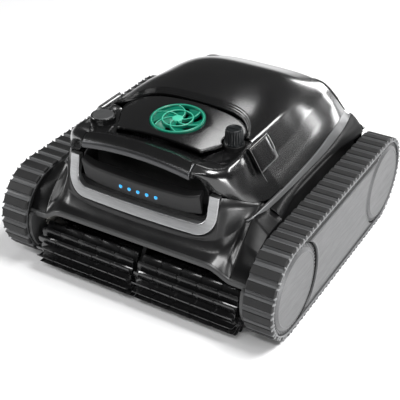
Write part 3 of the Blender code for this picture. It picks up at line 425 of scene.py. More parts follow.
def lid_crown(y):
    """Height of the lid's centre line."""
    return curve_at([(-0.034, 0.2180), (0.0, 0.2209), (0.030, 0.22205), (0.050, 0.2217),
                     (0.070, 0.2200), (0.085, 0.2172), (0.100, 0.2124), (0.120, 0.2040),
                     (0.140, 0.1956), (0.152, 0.1910)], y)


def strip_top(y):
    """Upper edge (x, z) of the silver strip."""
    return curve_at([(-0.142, 0.1318, 0.1415), (-0.116, 0.1365, 0.1456), (-0.090, 0.1403, 0.1488),
                     (-0.050, 0.1410, 0.1496), (0.0, 0.1411, 0.1511), (0.034, 0.1411, 0.1542),
                     (0.058, 0.1408, 0.1581), (0.088, 0.1390, 0.1609), (0.114, 0.1345, 0.1596),
                     (0.145, 0.1265, 0.1525), (0.152, 0.1245, 0.1505)], y)


def strip_low(y):
    """Lower edge (x, z) of the silver strip."""
    return curve_at([(-0.142, 0.1322, 0.1408), (-0.116, 0.1375, 0.1380), (-0.076, 0.1415, 0.1397),
                     (-0.020, 0.1420, 0.1387), (0.037, 0.1425, 0.1390), (0.066, 0.1425, 0.1405),
                     (0.098, 0.1420, 0.1440), (0.128, 0.1390, 0.1467), (0.145, 0.1365, 0.1497)], y)


def flank_creases(y):
    """The two soft creases along the lid's flank: (x, z, x, z)."""
    return curve_at([(-0.075, 0.1165, 0.1770, 0.1290, 0.1625), (-0.023, 0.1160, 0.1785, 0.1287, 0.1640),
                     (0.025, 0.1150, 0.1818, 0.1280, 0.1675), (0.075, 0.1115, 0.1865, 0.1262, 0.1735),
                     (0.110, 0.1065, 0.1855, 0.1215, 0.1735), (0.152, 0.1005, 0.1760, 0.1120, 0.1650)], y)


def lid_section(y):
    """Half cross-section (x, z) from the centre line to the strip."""
    edge_x, edge_z = lid_shoulder(y)
    rise = lid_crown(y) - edge_z
    points = [(edge_x * s, edge_z + rise * (1.0 - s ** 3.3)) for s in CROWN_SHARES]
    x2, z2, x3, z3 = flank_creases(y)
    end_x, end_z = strip_top(y)
    corner = rounded([points[-1], (edge_x, edge_z), (x2, z2), (x3, z3), (end_x, end_z + 0.6 * MM)],
                     [5.0 * MM, 2.0 * MM, 2.0 * MM], 5)
    return points + corner[1:]


def lid_front_y(share):
    """Where the lid's front edge lies at a share."""
    return curve_at([(0.0, -0.0340), (0.3, -0.0343), (0.5, -0.0352), (0.66, -0.0390),
                     (0.78, -0.0480), (0.85, -0.0580), (0.90, -0.0700), (0.94, -0.0738),
                     (1.0, -0.0745), (4.0, -0.0715)], share)


def make_lid():
    """The lid: columns from its stepped front edge to the rear, one for each share across it."""
    depths = [0.0, 0.4, 2.2, 2.5, 2.9, 3.2, 5.3, 5.6, 6.0, 6.3, 8.5, 8.8, 9.2, 9.5, 12.0, 16.0]
    columns = []
    for index, share in enumerate(LID_SHARES):
        front = lid_front_y(share)
        fade = curve_at([(0.0, 1.0), (0.86, 1.0), (0.93, 0.0), (4.0, 0.0)], share)
        ys = [front + d * MM for d in depths]
        ys += list(np.linspace(ys[-1], LID_REAR, 34))[1:]
        column = []
        for k, y in enumerate(ys):
            x, z = lid_section(y)[index]
            if k < len(depths):
                z -= fade * np.interp(depths[k], *zip(*TERRACE)) * MM
            column.append((x, y, z))
        columns.append(column)
    obj = grid("lid_shell", both_sides(columns), GLOSS, (0, 0, 1), 3.0 * MM, 0.6 * MM)
    place(obj, "lid", "gloss_black", "lid")


make_lid()


# ---------------------------------------------------------------- deck

GRILLE = np.array([0.0, -0.0804, 0.2106])
GRILLE_RADIUS = 0.034
SPOKES = 6
DECK_SLOPE = 0.062
KNOB_CENTRE = (0.0813, -0.0860)
BUTTON_CENTRE = (-0.0905, -0.1095)


def deck_z(x, y):
    """Height of the deck, which leans back and falls off to both sides."""
    return GRILLE[2] + DECK_SLOPE * (y - GRILLE[1]) - 1.3 * x * x


def deck_outline():
    """The deck's edge (x, y) all the way round, with softened corners."""
    right = [(0.0, -0.1245), (0.0590, -0.1245), (0.0858, -0.0740), (0.0858, -0.0600),
             (0.0800, -0.0495), (0.0690, -0.0425), (0.0520, -0.0385), (0.0, -0.0375)]
    half = rounded(right, [2.5 * MM, 3.0 * MM, 6.0 * MM, 6.0 * MM, 8.0 * MM, 12.0 * MM], 4)
    half = [tuple(p) for p in half]
    return half + [(-x, y) for x, y in reversed(half[1:-1])]


def ray_reach(origin, angle, outline, notch, notch_radius):
    """How far the deck runs from the grille's centre at an angle."""
    direction = np.array([math.cos(angle), math.sin(angle)])
    reach = 1.0
    for a, b in zip(outline, outline[1:] + outline[:1]):
        a, b = np.array(a) - origin, np.array(b) - origin
        edge = b - a
        cross = direction[0] * edge[1] - direction[1] * edge[0]
        if abs(cross) < 1e-12:
            continue
        along = (a[0] * edge[1] - a[1] * edge[0]) / cross
        share = (a[0] * direction[1] - a[1] * direction[0]) / cross
        if along > 0 and -1e-9 <= share <= 1 + 1e-9:
            reach = min(reach, along)
    offset = np.array(notch) - origin
    middle = offset.dot(direction)
    miss = offset.dot(offset) - middle ** 2
    if middle > 0 and miss < notch_radius ** 2:
        reach = min(reach, middle - math.sqrt(notch_radius ** 2 - miss))
    return reach


def make_deck():
    """The flat deck, a fan of rays from the grille's rim to the outline, with room for the knob."""
    outline = deck_outline()
    origin = GRILLE[:2]
    angles = set(np.linspace(0, 2 * math.pi, 160, endpoint=False))
    for x, y in outline:
        angles.add(math.atan2(y - origin[1], x - origin[0]) % (2 * math.pi))
    notch_at = math.atan2(KNOB_CENTRE[1] - origin[1], KNOB_CENTRE[0] - origin[0])
    for k in range(-12, 13):
        angles.add((notch_at + k * 0.0145) % (2 * math.pi))
    rings = []
    inner = GRILLE_RADIUS + 1.0 * MM
    for angle in sorted(angles):
        reach = ray_reach(origin, angle, outline, KNOB_CENTRE, 14.0 * MM)
        ring = []
        for share, drop in ((0.0, 1.3), (0.0, 0.35), (0.03, 0.0), (0.2, 0.0), (0.45, 0.0), (0.7, 0.0),
                            (0.9, 0.0), (0.965, 0.0), (0.99, 0.25), (1.0, 1.1), (1.0, 4.5)):
            radius = mix(inner, reach, share)
            x, y = origin + radius * np.array([math.cos(angle), math.sin(angle)])
            ring.append((x, y, deck_z(x, y) - drop * MM))
        rings.append(ring)
    obj = make("deck_panel", flat(rings), quads(len(rings), len(rings[0]), True), GLOSS, 55.0)
    face_towards(obj, (0, 0, 1))
    wall(obj, 1.2 * MM)
    place(obj, "chassis", "gloss_black", "deck_plate")


make_deck()


# ---------------------------------------------------------------- brow round the deck

def brow_section(t):
    """Deck edge, valley, ridge, shoulder, wall and seam in millimetres, t 0 centre to 1 lid seam."""
    centre = [
        (0.00, 0, -125.3, 199.0, 0, -140, 206.4, 0, -162.8, 217.3, 0, -162.6, 199, 0, -157, 196,
         0, -146, 195.5),
        (0.20, 36, -125.3, 198.0, 38, -140, 205.0, 41, -162.8, 215.3, 41, -162.6, 198, 41, -157, 195,
         41, -146, 194.5),
        (0.38, 59.4, -125.3, 195.5, 67, -140, 201.4, 74.3, -162.8, 210.7, 74.3, -162.6, 196,
         74.3, -157, 193, 74.3, -146, 192.5)]
    flank = [
        (0.39, 60.4, -124.8, 195.5, 68, -139.5, 201.2, 75.3, -163.4, 211.0, 75.6, -174.8, 204.4,
         82.0, -164.0, 191.0, 92.0, -159.4, 178.0),
        (0.50, 65.0, -116, 195.6, 78, -131, 199.0, 88.0, -160.5, 208.8, 92.0, -168.8, 202.4,
         96.5, -163.0, 188.0, 99.5, -158.4, 176.5),
        (0.60, 70.0, -107, 196.0, 85, -124, 196.5, 98.0, -151.5, 206.2, 103.5, -158.4, 200.0,
         108.5, -155.0, 184.5, 112.0, -149.5, 169.5),
        (0.70, 75.5, -97, 196.4, 88, -113, 195.0, 102.6, -139.0, 204.7, 109.5, -143.0, 198.2,
         116.5, -142.0, 180.0, 123.5, -136.5, 162.0),
        (0.82, 81.0, -86.5, 196.8, 91, -99, 195.5, 102.6, -119.0, 203.7, 109.0, -120.0, 196.8,
         120.0, -120.0, 175.5, 131.2, -119.0, 154.0),
        (0.92, 84.8, -77.0, 198.0, 92, -86, 197.5, 100.3, -98.0, 203.2, 105.5, -98.0, 196.5,
         119.5, -98.0, 173.5, 137.6, -98.5, 150.2),
        (1.00, 87.4, -75.4, 200.5, 93, -75.4, 202.0, 98.9, -75.4, 203.2, 102.0, -75.4, 199.3,
         120.0, -74.2, 176.0, 139.8, -72.6, 151.3)]
    values = curve_at(centre if t <= 0.38 else flank, t) * MM
    return values.reshape(6, 3)


def make_brow():
    """The crest behind the bar and the flanks that run back from it to the lid."""
    samples = list(np.linspace(0, 0.38, 16)) + list(np.linspace(0.39, 1.0, 44))
    rows = []
    for t in samples:
        section = brow_section(t)
        if t <= 0.38:
            radii = (5.0, 2.0, 2.0, 2.0)
        else:
            blend_in = min(1.0, (t - 0.39) / 0.12)
            radii = (9.0, mix(2.0, 7.0, blend_in), mix(1.5, 7.0, blend_in), 9.0)
        rows.append(rounded(section, [r * MM for r in radii], 5))
    rows = both_sides(rows)
    obj = grid("brow_shell", rows, GLOSS, (0, -0.4, 1), 2.2 * MM, 0.6 * MM)
    place(obj, "chassis", "gloss_black", "front_shell")


make_brow()


def tube(name, path, radius, material, steps=10):
    """A round bead along a path of points."""
    path = [np.array(p, float) for p in path]
    rings = []
    for i, point in enumerate(path):
        ahead = path[min(i + 1, len(path) - 1)] - path[max(i - 1, 0)]
        ahead /= np.linalg.norm(ahead)
        side = np.cross(ahead, (0.3, 0.2, 1.0))
        side /= np.linalg.norm(side)
        up = np.cross(side, ahead)
        share = i / (len(path) - 1)
        width = radius * min(1.0, 0.35 + 6.0 * min(share, 1.0 - share))
        rings.append([point + width * (side * math.cos(a) + up * math.sin(a))
                      for a in np.linspace(0, 2 * math.pi, steps + 1)[:-1]])
    return loft(name, rings, material, angle=60)


def make_seams():
    """Fine raised edges on the brow by the latch, pale as a painted highlight, and the dark gasket behind
    the lid.
    """
    for side, label in SIDES:
        # Pale bead along the brow's shoulder by the latch: painted highlight.
        section = resample(rounded(brow_section(0.955)[2:], [4.0 * MM, 9.0 * MM], 5), 24)
        place(tube("brow_seam_highlight_" + label, mirrored(section[5:18], side), 0.35 * MM, STRIP), "chassis",
              "gloss_black")
        edge = []
        for x, z in lid_section(LID_REAR)[10:]:
            edge.append((side * x, LID_REAR + 1.1 * MM, z - 0.6 * MM))
        place(tube("lid_gasket_" + label, edge, 1.3 * MM, MATT_DARK), "chassis", "dark_plastic")


make_seams()


# ---------------------------------------------------------------- front: bar, bezel, recess, fascia

def front_face_y(x, z):
    """The front surface round the handle recess."""
    flat = curve_at([(0.080, -0.1890), (0.096, -0.1920), (0.1025, -0.1918), (0.107, -0.1830),
                     (0.112, -0.1765), (0.117, -0.1728), (0.123, -0.1712), (0.135, -0.1675),
                     (0.152, -0.1635), (0.173, -0.1590), (0.185, -0.1580)], z)
    return flat - 4.0 * MM * max(0.0, 1.0 - (x / 0.105) ** 2)


def make_bar():
    """The bowed carrying bar, the gloss pad let into its top, and a block under each end."""
    section = [(-163.4, 217.4), (-174.4, 211.6), (-176.8, 208.6), (-177.0, 202.8), (-174.6, 201.0),
               (-166.5, 200.6), (-163.4, 202.5)]
    ring = rounded(section + section[:1], [1.6, 2.2, 1.6, 1.2, 2.0, 1.2], 4)[1:]
    pad = [(-163.6, 216.9), (-163.6, 218.1), (-169.0, 215.3), (-174.6, 212.1), (-175.4, 211.0),
           (-174.0, 210.8)]

    def bowed(outline, reach):
        """Rings of a (y, z) outline along the bar, which drops towards both ends."""
        return [[(x * MM, y * MM, z * MM - 1.25 * (x * MM) ** 2) for y, z in outline]
                for x in np.linspace(-reach, reach, 25)]

    bar = bevel(loft("carry_bar", bowed(ring, 73.4), GUNMETAL), 0.8 * MM, 3, 50)
    place(bar, "chassis", "satin_silver", "handle_bar")
    place(bevel(loft("carry_bar_pad", bowed(pad, 72.6), GLOSS), 0.5 * MM), "chassis", "gloss_black")
    for side, label in SIDES:
        end = [mm((side * x, y, z) for y, z in
                  ((-164.0, 209.0), (-173.6, 203.4), (-175.0, 199.0), (-172.0, 196.0), (-164.0, 197.0)))
               for x in (72.6, 76.4)]
        place(bevel(loft("carry_bar_end_" + label, end, SATIN_DARK), 0.6 * MM, 2), "chassis",
              "dark_plastic")


def bezel_path():
    """The U of the handle surround (x, z): down the left, across the bottom, up the right."""
    left = [(-97.5, z) for z in (172.4, 168.0, 162.0, 155.0)]
    turn = arc((-77.5, 149.0), 20.0, 180.0, 270.0, 14)
    across = [(x, 129.0) for x in np.linspace(-70.0, 0.0, 8)]
    half = mm(left + turn + across)
    return half + [(-x, z) for x, z in reversed(half[:-1])]


def framing(path, profile):
    """Rings along a front path: profile points are (outward from the path, proud of the face)."""
    rings = []
    for i, (x, z) in enumerate(path):
        before, after = path[max(i - 1, 0)], path[min(i + 1, len(path) - 1)]
        dx, dz = after[0] - before[0], after[1] - before[1]
        length = math.hypot(dx, dz)
        nx, nz = dz / length, -dx / length
        ring = []
        for out, proud in profile:
            px, pz = x + nx * out * MM, z + nz * out * MM
            ring.append((px, front_face_y(px, pz) - proud * MM, pz))
        rings.append(ring)
    return rings


def make_bezel():
    """The broad satin surround of the handle recess."""
    profile = rounded([(6.5, -5.0), (6.5, 1.3), (5.6, 2.0), (-5.4, 1.7), (-6.4, 0.8), (-6.4, -6.0)],
                      [0.7, 0.7, 1.6, 1.2], 4)
    bezel = loft("handle_surround", framing(bezel_path(), profile), SILVER, angle=40)
    place(bezel, "chassis", "satin_silver", "handle_bezel")


def make_recess():
    """The recess liner, the leaning display face in it and its five status lights."""
    half_width, bulge = 82.5, 5.0
    face_lean, face_height = 5.0, 21.8
    liner = []
    for y in (-0.1560, -0.1545, -0.140, -0.1320, -0.1312):
        inset = 0.0 if y < -0.14 else (4.0 if y > -0.1315 else 1.0)
        ring = rounded([(0.0, 137.0 + inset), (86.0 - inset, 137.0 + inset), (87.0 - inset, 172.0),
                        (79.0 - inset, 184.5 - inset), (70.0, 188.5 - inset), (0.0, 189.5 - inset)],
                       [12.0, 6.0, 6.0, 4.0], 5)
        right = [(x * MM, y, z * MM) for x, z in ring]
        liner.append(right + [(-x, py, z) for x, py, z in reversed(right[1:-1])])
    count, total = len(liner[0]), len(liner)
    faces = quads(total, count, False, True)
    faces.append(tuple(range((total - 1) * count, total * count)))
    obj = make("recess_liner", flat(liner), faces, MATT_DARK, 50)
    wall(obj, 1.6 * MM, 1.0)
    place(obj, "chassis", "dark_plastic", "handle_pocket")

    rings = []
    for x in np.linspace(-half_width, half_width, 45):
        lift = 6.0 * max(0.0, (abs(x) - 58.0) / 24.5) ** 2
        face = -166.0 - bulge * (1.0 - (abs(x) / half_width) ** 2)
        section = [(-159.0, 143.0 + 0.5 * lift), (face + 3.4, 142.6 + 0.5 * lift),
                   (face + 2.6, 144.0 + 0.5 * lift), (face - 2.4, 165.8 + lift),
                   (face - 1.2, 168.2 + lift), (face + 6.0, 170.0 + lift), (-159.0, 170.4 + lift)]
        ring = rounded(section, [0.8, 2.0, 2.2, 1.4, 2.0], 3)
        rings.append(mm((x, y, z) for y, z in ring))
    panel = bevel(loft("display_panel", rings, SATIN_DARK, angle=40), 0.8 * MM, 2, 60)
    place(panel, "chassis", "dark_plastic", "led_panel")

    tilt = math.atan2(face_lean, face_height)
    turn = Vector((0, -math.cos(tilt), math.sin(tilt))).to_track_quat("Z", "Y")
    for i in range(5):
        x = (i - 2) * 12.4
        face = -166.0 - bulge * (1.0 - (x / half_width) ** 2)
        centre = Vector((x * MM, (face + 2.6 - face_lean * 9.6 / face_height) * MM, 153.6 * MM))
        for name, radius, low, high, mat in (("display_lens", 2.3, 0.4, 1.0, LED),
                                             ("display_ring", 3.1, -0.3, 0.55, GLOSS)):
            profile = [(-low, 0.0), (-low, radius), (high - 0.4, radius), (high, radius - 0.6),
                       (high, 0.0)]
            piece = turned("%s_%d" % (name, i), mm(profile), (0, 0, 0), "Z", mat, 28)
            for vertex in piece.data.vertices:
                vertex.co = turn @ vertex.co + centre
            slot = "led_blue" if mat is LED else "gloss_black"
            place(piece, "chassis", slot, *(["led_light_guide"] if i == 0 and mat is LED else []))


def fascia_section(x):
    """Front profile (y, z) in metres at x, from the lip over the brush up to the bezel or seam."""
    lip_y, lip_z = curve_at([(0.0, -0.1922, 0.0965), (0.104, -0.1922, 0.0965), (0.110, -0.1918, 0.0955),
                             (0.118, -0.1908, 0.0915), (0.127, -0.1890, 0.0850),
                             (0.134, -0.1880, 0.0815), (0.1565, -0.1870, 0.0800)], x)
    corner_x, bezel_end, corner_radius = 0.0775, 0.1044, 0.0273
    if x < bezel_end:
        top_z = 0.1217
        if x >= corner_x:
            top_z = 0.149 - math.sqrt(corner_radius ** 2 - (x - corner_x) ** 2)
        top_y = front_face_y(x, top_z)
    else:
        top_y, top_z = curve_at([(0.1044, -0.1590, 0.1722), (0.1125, -0.1497, 0.1688),
                                 (0.1240, -0.1367, 0.1612), (0.1300, -0.1215, 0.1545),
                                 (0.1340, -0.1120, 0.1500), (0.1390, -0.1030, 0.1388),
                                 (0.1565, -0.1020, 0.1285)], x)
    return lip_y, lip_z, top_y, top_z


def fascia_column(x):
    """One column of the fascia: lip, scoop, belly edge, belly, top."""
    lip_y, lip_z, top_y, top_z = fascia_section(x)
    edge = curve_at([(0.0, -0.1775, 0.1140), (0.060, -0.1755, 0.1145), (0.090, -0.1722, 0.1170),
                     (0.1044, -0.1690, 0.1205), (0.1110, -0.1650, 0.1240), (0.1170, -0.1560, 0.1255),
                     (0.1230, -0.1470, 0.1290), (0.1290, -0.1405, 0.1370), (0.1330, -0.1340, 0.1410),
                     (0.1390, -0.1330, 0.1370), (0.1565, -0.1340, 0.1235)], x)
    scoop = curve_at([(0.0, -0.1850, 0.1060), (0.060, -0.1835, 0.1060), (0.100, -0.1800, 0.1062),
                      (0.1110, -0.1765, 0.1060), (0.1180, -0.1725, 0.1045), (0.1240, -0.1700, 0.1035),
                      (0.1270, -0.1705, 0.1040), (0.1335, -0.1745, 0.1035), (0.1400, -0.1755, 0.1035),
                      (0.1565, -0.1760, 0.1020)], x)
    high = curve_at([(0.0, -0.1805, 0.1095), (0.060, -0.1790, 0.1098), (0.100, -0.1748, 0.1120),
                     (0.1110, -0.1690, 0.1135), (0.1180, -0.1610, 0.1145), (0.1240, -0.1550, 0.1165),
                     (0.1270, -0.1560, 0.1185), (0.1335, -0.1600, 0.1180), (0.1400, -0.1620, 0.1165),
                     (0.1565, -0.1640, 0.1130)], x)
    lip = [(lip_y + 0.0008, lip_z), (lip_y, lip_z + 0.0012), (lip_y, lip_z + 0.0052),
           (lip_y + 0.0012, lip_z + 0.0062)]
    inner = (lip_y + 0.0030, lip_z + 0.0072)
    middle = (mix(edge[0], top_y, 0.5) - curve_at([(0.0, 0.0003), (0.1044, 0.0008), (0.117, 0.0030),
                                                   (0.130, 0.0006), (0.1565, 0.0)], x),
              mix(edge[1], top_z, 0.5))
    body = rounded([inner, tuple(scoop), tuple(high), tuple(edge), middle, (top_y, top_z)],
                   [0.006, 0.006, 0.0022, 0.010], 6)
    return [(x, y, z) for y, z in lip + [tuple(p) for p in body]]


def make_fascia():
    """The fascia down to the lip over the brush, its outer fenders painted darker as painted shade, and the
    lip band painted light grey as a painted highlight.
    """
    xs = list(np.linspace(0.0, 0.0775, 14)) + list(np.linspace(0.082, 0.1040, 12)) + [0.1043, 0.1045]
    xs += list(np.linspace(0.1065, 0.1220, 11)) + list(np.linspace(0.1235, 0.1345, 11))
    xs += list(np.linspace(0.1370, 0.1562, 9))
    columns = [fascia_column(x) for x in xs]
    last = sum(1 for x in xs if x < 0.1325)
    obj = grid("front_fascia_shell", both_sides(columns[:last + 1]), FASCIA, (0, -1, 0.5), 2.2 * MM, 0.0)
    place(obj, "chassis", "gloss_black", "front_fascia")
    for side, label in SIDES:
        outer = [mirrored(c, side) for c in columns[last:]]
        # The outer fenders take the darker fender material: painted shade.
        place(grid("front_fender_" + label, outer, FENDER, (0, -1, 0.5), 2.2 * MM, 0.0), "chassis",
              "gloss_black")
    lip = []
    for x in [-x for x in reversed(xs[1:])] + xs:
        lip_y, lip_z, _, _ = fascia_section(abs(x))
        ring = rounded([(lip_y + 0.004, lip_z - 0.0008), (lip_y - 0.0006, lip_z - 0.0010),
                        (lip_y - 0.0009, lip_z + 0.0052), (lip_y + 0.0004, lip_z + 0.0064),
                        (lip_y + 0.0030, lip_z + 0.0068), (lip_y + 0.0040, lip_z + 0.003)],
                       [0.001, 0.001, 0.0008, 0.001], 3)
        lip.append([(x, y, z) for y, z in ring])
    # Lip band in light grey: painted highlight.
    band = loft("fascia_lip_band", lip, LIP_PAINTED_HIGHLIGHT, angle=40)
    place(band, "chassis", "dark_plastic")


make_bar()
make_bezel()
make_recess()
make_fascia()


# ---------------------------------------------------------------- grille, knob, button, latches

def make_grille():
    """The emerald outlet grille: rim, middle ring, hub, curved spokes and the vanes behind them."""
    origin, top = GRILLE[:2], GRILLE[2]
    inner, reach = 6.2, 24.4

    def lean(obj):
        """Tilts a piece with the deck."""
        for vertex in obj.data.vertices:
            vertex.co.z += DECK_SLOPE * (vertex.co.y - origin[1])
        return obj

    def sweep(k, radius):
        """The angle of spoke k at a radius."""
        return 2 * math.pi * k / SPOKES + ((radius - inner) / reach) ** 0.8

    def hoop(name, inner, outer, low, high, material, *nodes):
        profile = rounded([(low, outer), (high - 0.3, outer), (high, outer - 0.5), (high, inner + 0.5),
                           (high - 0.3, inner), (low, inner)], [0.2, 0.3, 0.3, 0.2], 3)
        obj = turned(name, mm(profile), GRILLE, "Z", material, 96)
        place(lean(obj), "chassis", "grille_green", *nodes)

    hoop("grille_rim", 30.2, 34.2, -4.0, 0.5, GREEN, "outlet_grille")
    hoop("grille_rim_line", 31.6, 32.5, 0.1, 0.75, MINT)
    hoop("grille_mid_ring", 17.6, 20.0, -3.4, 0.35, GREEN)
    hoop("grille_mid_line", 18.2, 19.4, 0.0, 0.8, MINT)
    hub = [(-3.6, 0.0), (-3.6, 7.0), (-0.5, 7.0), (0.5, 6.2), (0.9, 4.0), (0.9, 0.0)]
    obj = turned("grille_hub", mm(rounded(hub, [0.2, 0.8, 1.2, 2.0], 4)), GRILLE, "Z", MINT, 64)
    place(lean(obj), "chassis", "grille_green")
    for k in range(SPOKES):
        for name, half, low, high, material in (("grille_spoke_%d", 1.5, -3.4, 0.0, GREEN),
                                                ("grille_spoke_line_%d", 0.5, -0.3, 0.3, MINT)):
            rings = []
            for radius in np.linspace(inner, inner + reach, 22):
                angle = sweep(k, radius)
                along = np.array([math.cos(angle), math.sin(angle)])
                across = np.array([-along[1], along[0]])
                ring_points = []
                for side, level in ((-half, low), (half, low), (half, high - 0.2), (half * 0.6, high),
                                    (-half * 0.6, high), (-half, high - 0.2)):
                    xy = origin + (along * radius + across * side) * MM
                    ring_points.append((xy[0], xy[1], top + level * MM))
                rings.append(ring_points)
            place(lean(loft(name % k, rings, material)), "chassis", "grille_green")
    for k in range(SPOKES):
        rings = []
        for radius in np.linspace(7.0, 30.4, 18):
            ring_points = []
            for turn, level in ((0.0, -0.7), (0.34, -1.9), (0.66, -3.6), (0.66, -4.2), (0.34, -2.6),
                                (0.0, -1.4)):
                a = sweep(k, radius) + turn
                ring_points.append((origin[0] + radius * MM * math.cos(a),
                                    origin[1] + radius * MM * math.sin(a), top + level * MM))
            rings.append(ring_points)
        place(lean(loft("grille_vane_%d" % k, rings, GREEN)), "chassis", "grille_green")
    well = [(-16.0, 0.0), (-16.0, 29.6), (-5.2, 30.0), (-5.2, 31.0), (-18.0, 31.0), (-18.0, 0.0)]
    place(turned("grille_dark_well", mm(well), GRILLE, "Z", MATT_DARK, 64), "chassis", "dark_plastic")


def make_knob():
    """The ribbed cap of the charging port, with its grip bar and the seat it turns on."""
    base, ribs = 0.2024, 20
    profile = [(0.0, 12.4), (1.6, 12.5), (2.2, 11.9), (3.0, 11.7), (9.0, 11.3), (15.0, 10.8),
               (17.4, 10.5), (18.8, 9.9), (19.5, 8.9), (19.6, 7.6), (18.9, 7.2), (18.7, 6.0),
               (18.7, 2.0), (18.7, 0.3)]
    depth = [0.0, 0.0, 0.3, 0.75, 0.8, 0.8, 0.7, 0.3, 0.0, 0.0, 0.0, 0.0, 0.0, 0.0]
    rings = []
    steps = ribs * 8
    for (z, radius), groove in zip(profile, depth):
        ring = []
        for i in range(steps):
            angle = 2 * math.pi * i / steps
            wave = 0.5 + 0.5 * math.cos(ribs * angle)
            reach = radius - groove * (wave ** 3)
            ring.append((KNOB_CENTRE[0] + reach * MM * math.cos(angle),
                         KNOB_CENTRE[1] + reach * MM * math.sin(angle), base + z * MM))
        rings.append(ring)
    place(loft("port_knob", rings, KNOB, angle=60), "charge_port_cap", "knob_rubber",
          "charge_port_cap")
    grip = [[(KNOB_CENTRE[0] + x * MM, KNOB_CENTRE[1] + y * MM, base + z * MM)
             for y, z in ((-1.3, 18.4), (-1.0, 19.7), (1.0, 19.7), (1.3, 18.4))]
            for x in np.linspace(-7.0, 7.0, 3)]
    place(bevel(loft("port_knob_grip", grip, KNOB), 0.4 * MM, 2), "charge_port_cap", "knob_rubber")
    seat = rounded([(-12.0, 12.8), (-1.4, 13.2), (0.2, 13.0), (0.2, 11.6), (-1.0, 7.4), (-12.0, 7.4)],
                   [1.0, 0.5, 0.5, 0.6], 3)
    place(turned("port_seat", [(base + (a - 0.5) * MM, r * MM) for a, r in seat],
                 (*KNOB_CENTRE, 0.0), "Z", SATIN_DARK, 64), "chassis", "dark_plastic",
          "charge_port_socket")


def make_button():
    """The round push button in its collar."""
    centre = (*BUTTON_CENTRE, 0.0)
    disc = rounded([(194.0, 0.01), (194.0, 13.7), (204.6, 13.7), (205.7, 12.6), (205.45, 8.0),
                    (205.35, 0.01)], [0.4, 0.6, 0.9, 3.0], 4)
    place(turned("push_button", mm(disc), centre, "Z", BUTTON, 72),
          "power_button", "cover_grey", "power_button")
    collar = rounded([(188.0, 14.2), (188.0, 15.9), (203.0, 15.9), (204.7, 15.2), (204.9, 14.6),
                      (204.2, 14.2)], [0.3, 0.8, 0.4, 0.3], 3)
    place(turned("push_button_collar", mm(collar), centre, "Z", GLOSS, 72), "chassis",
          "dark_plastic", "button_collar")


def make_latch(side, label):
    """The latch flap over the lid's shoulder, its rod, and pale beads along its rear edge and front seam as
    painted highlights.
    """
    front_y, rear_y = -95.3, -51.2
    section = [(102.8, 203.4), (104.0, 205.0), (107.2, 204.4), (109.0, 202.0), (113.0, 196.2),
               (124.0, 178.6), (123.6, 176.4), (122.3, 176.4), (115.4, 185.6), (106.7, 198.0)]
    ring = rounded(section + section[:1], [0.5, 1.8, 2.2, 1.2, 3.0, 0.8, 0.5, 0.4, 1.0, 0.8], 3)[1:]
    rings = []
    for y in (front_y, -94.9, -87.0, -73.0, -60.0, -51.6, rear_y):
        pinch = 0.4 if y in (front_y, rear_y) else 0.0
        rings.append(mm((side * (x - pinch * 0.5), y, z - pinch * 0.3) for x, z in ring))
    place(loft("latch_flap_" + label, rings, GLOSS, angle=40), "latch_" + label, "gloss_black",
          "latch_" + label)
    rod = rounded([(104.3, 204.6), (104.5, 206.6), (107.0, 206.2), (108.6, 203.6), (105.6, 204.0),
                   (104.3, 204.6)], [0.8, 1.2, 0.8, 0.4], 4)[1:]
    bead = [mm((side * x, y, z) for x, z in rod) for y in (-95.4, -94.6, -52.2, -51.4)]
    place(bevel(loft("latch_rod_" + label, bead, GLOSS, angle=50), 0.3 * MM, 2), "latch_" + label,
          "gloss_black")
    # Pale beads along the flap's rear edge and front seam: painted highlights.
    edges = (("latch_edge_highlight_", -51.9, 0.8, SILVER, 12,
              [(106.8, 205.0), (109.4, 202.2), (113.4, 196.4), (118.6, 188.0)]),
             ("latch_front_highlight_", front_y, 0.35, STRIP, 16,
              [(104.4, 206.2), (107.6, 204.6), (109.4, 202.0), (113.4, 196.0), (124.0, 178.8)]))
    for name, y, radius, material, count, line in edges:
        path = mm((side * x, y, z) for x, z in resample(line, count))
        place(tube(name + label, path, radius * MM, material), "latch_" + label, "satin_silver")


make_grille()
make_knob()
make_button()
for side, label in SIDES:
    make_latch(side, label)


# ---------------------------------------------------------------- side strip, rear panel

SKIRT_LOW = 0.1372
FENDER_X = 0.1545  # half width of the shells at the belts


def make_strip(side, label):
    """The silver strip, its tapering nose over the fender, and the dark skirt below it."""
    rings, skirt = [], []
    for y in list(np.linspace(-0.142, -0.100, 9)) + list(np.linspace(-0.094, 0.1445, 34)):
        top_x, top_z = strip_top(y)
        low_x, low_z = strip_low(y)
        nose = min(1.0, (y + 0.1435) / 0.012)
        top_z -= 0.9 * MM
        outer = [(top_x - 0.3 * MM, top_z), (top_x + 0.7 * MM * nose, top_z - 0.5 * MM),
                 (low_x + 0.3 * MM * nose, low_z + 0.7 * MM), (low_x - 0.8 * MM, low_z),
                 (low_x - 3.0 * MM, low_z), (top_x - 3.6 * MM, top_z - 1.5 * MM)]
        rings.append([(side * x, y, z) for x, z in outer])
    strip = bevel(loft("side_strip_" + label, rings, STRIP, angle=40), 0.4 * MM, 2, 50)
    place(strip, "chassis", "satin_silver", "side_trim_" + label)
    for y in np.linspace(-0.094, 0.1500, 30):
        low_x, low_z = strip_low(y)
        outer = [(low_x - 1.2 * MM, low_z - 0.2 * MM), (low_x - 0.6 * MM, SKIRT_LOW),
                 (low_x - 3.2 * MM, SKIRT_LOW), (low_x - 3.4 * MM, low_z - 0.2 * MM)]
        skirt.append([(side * x, y, z) for x, z in outer])
    place(loft("side_skirt_" + label, skirt, SATIN_DARK), "chassis", "dark_plastic")


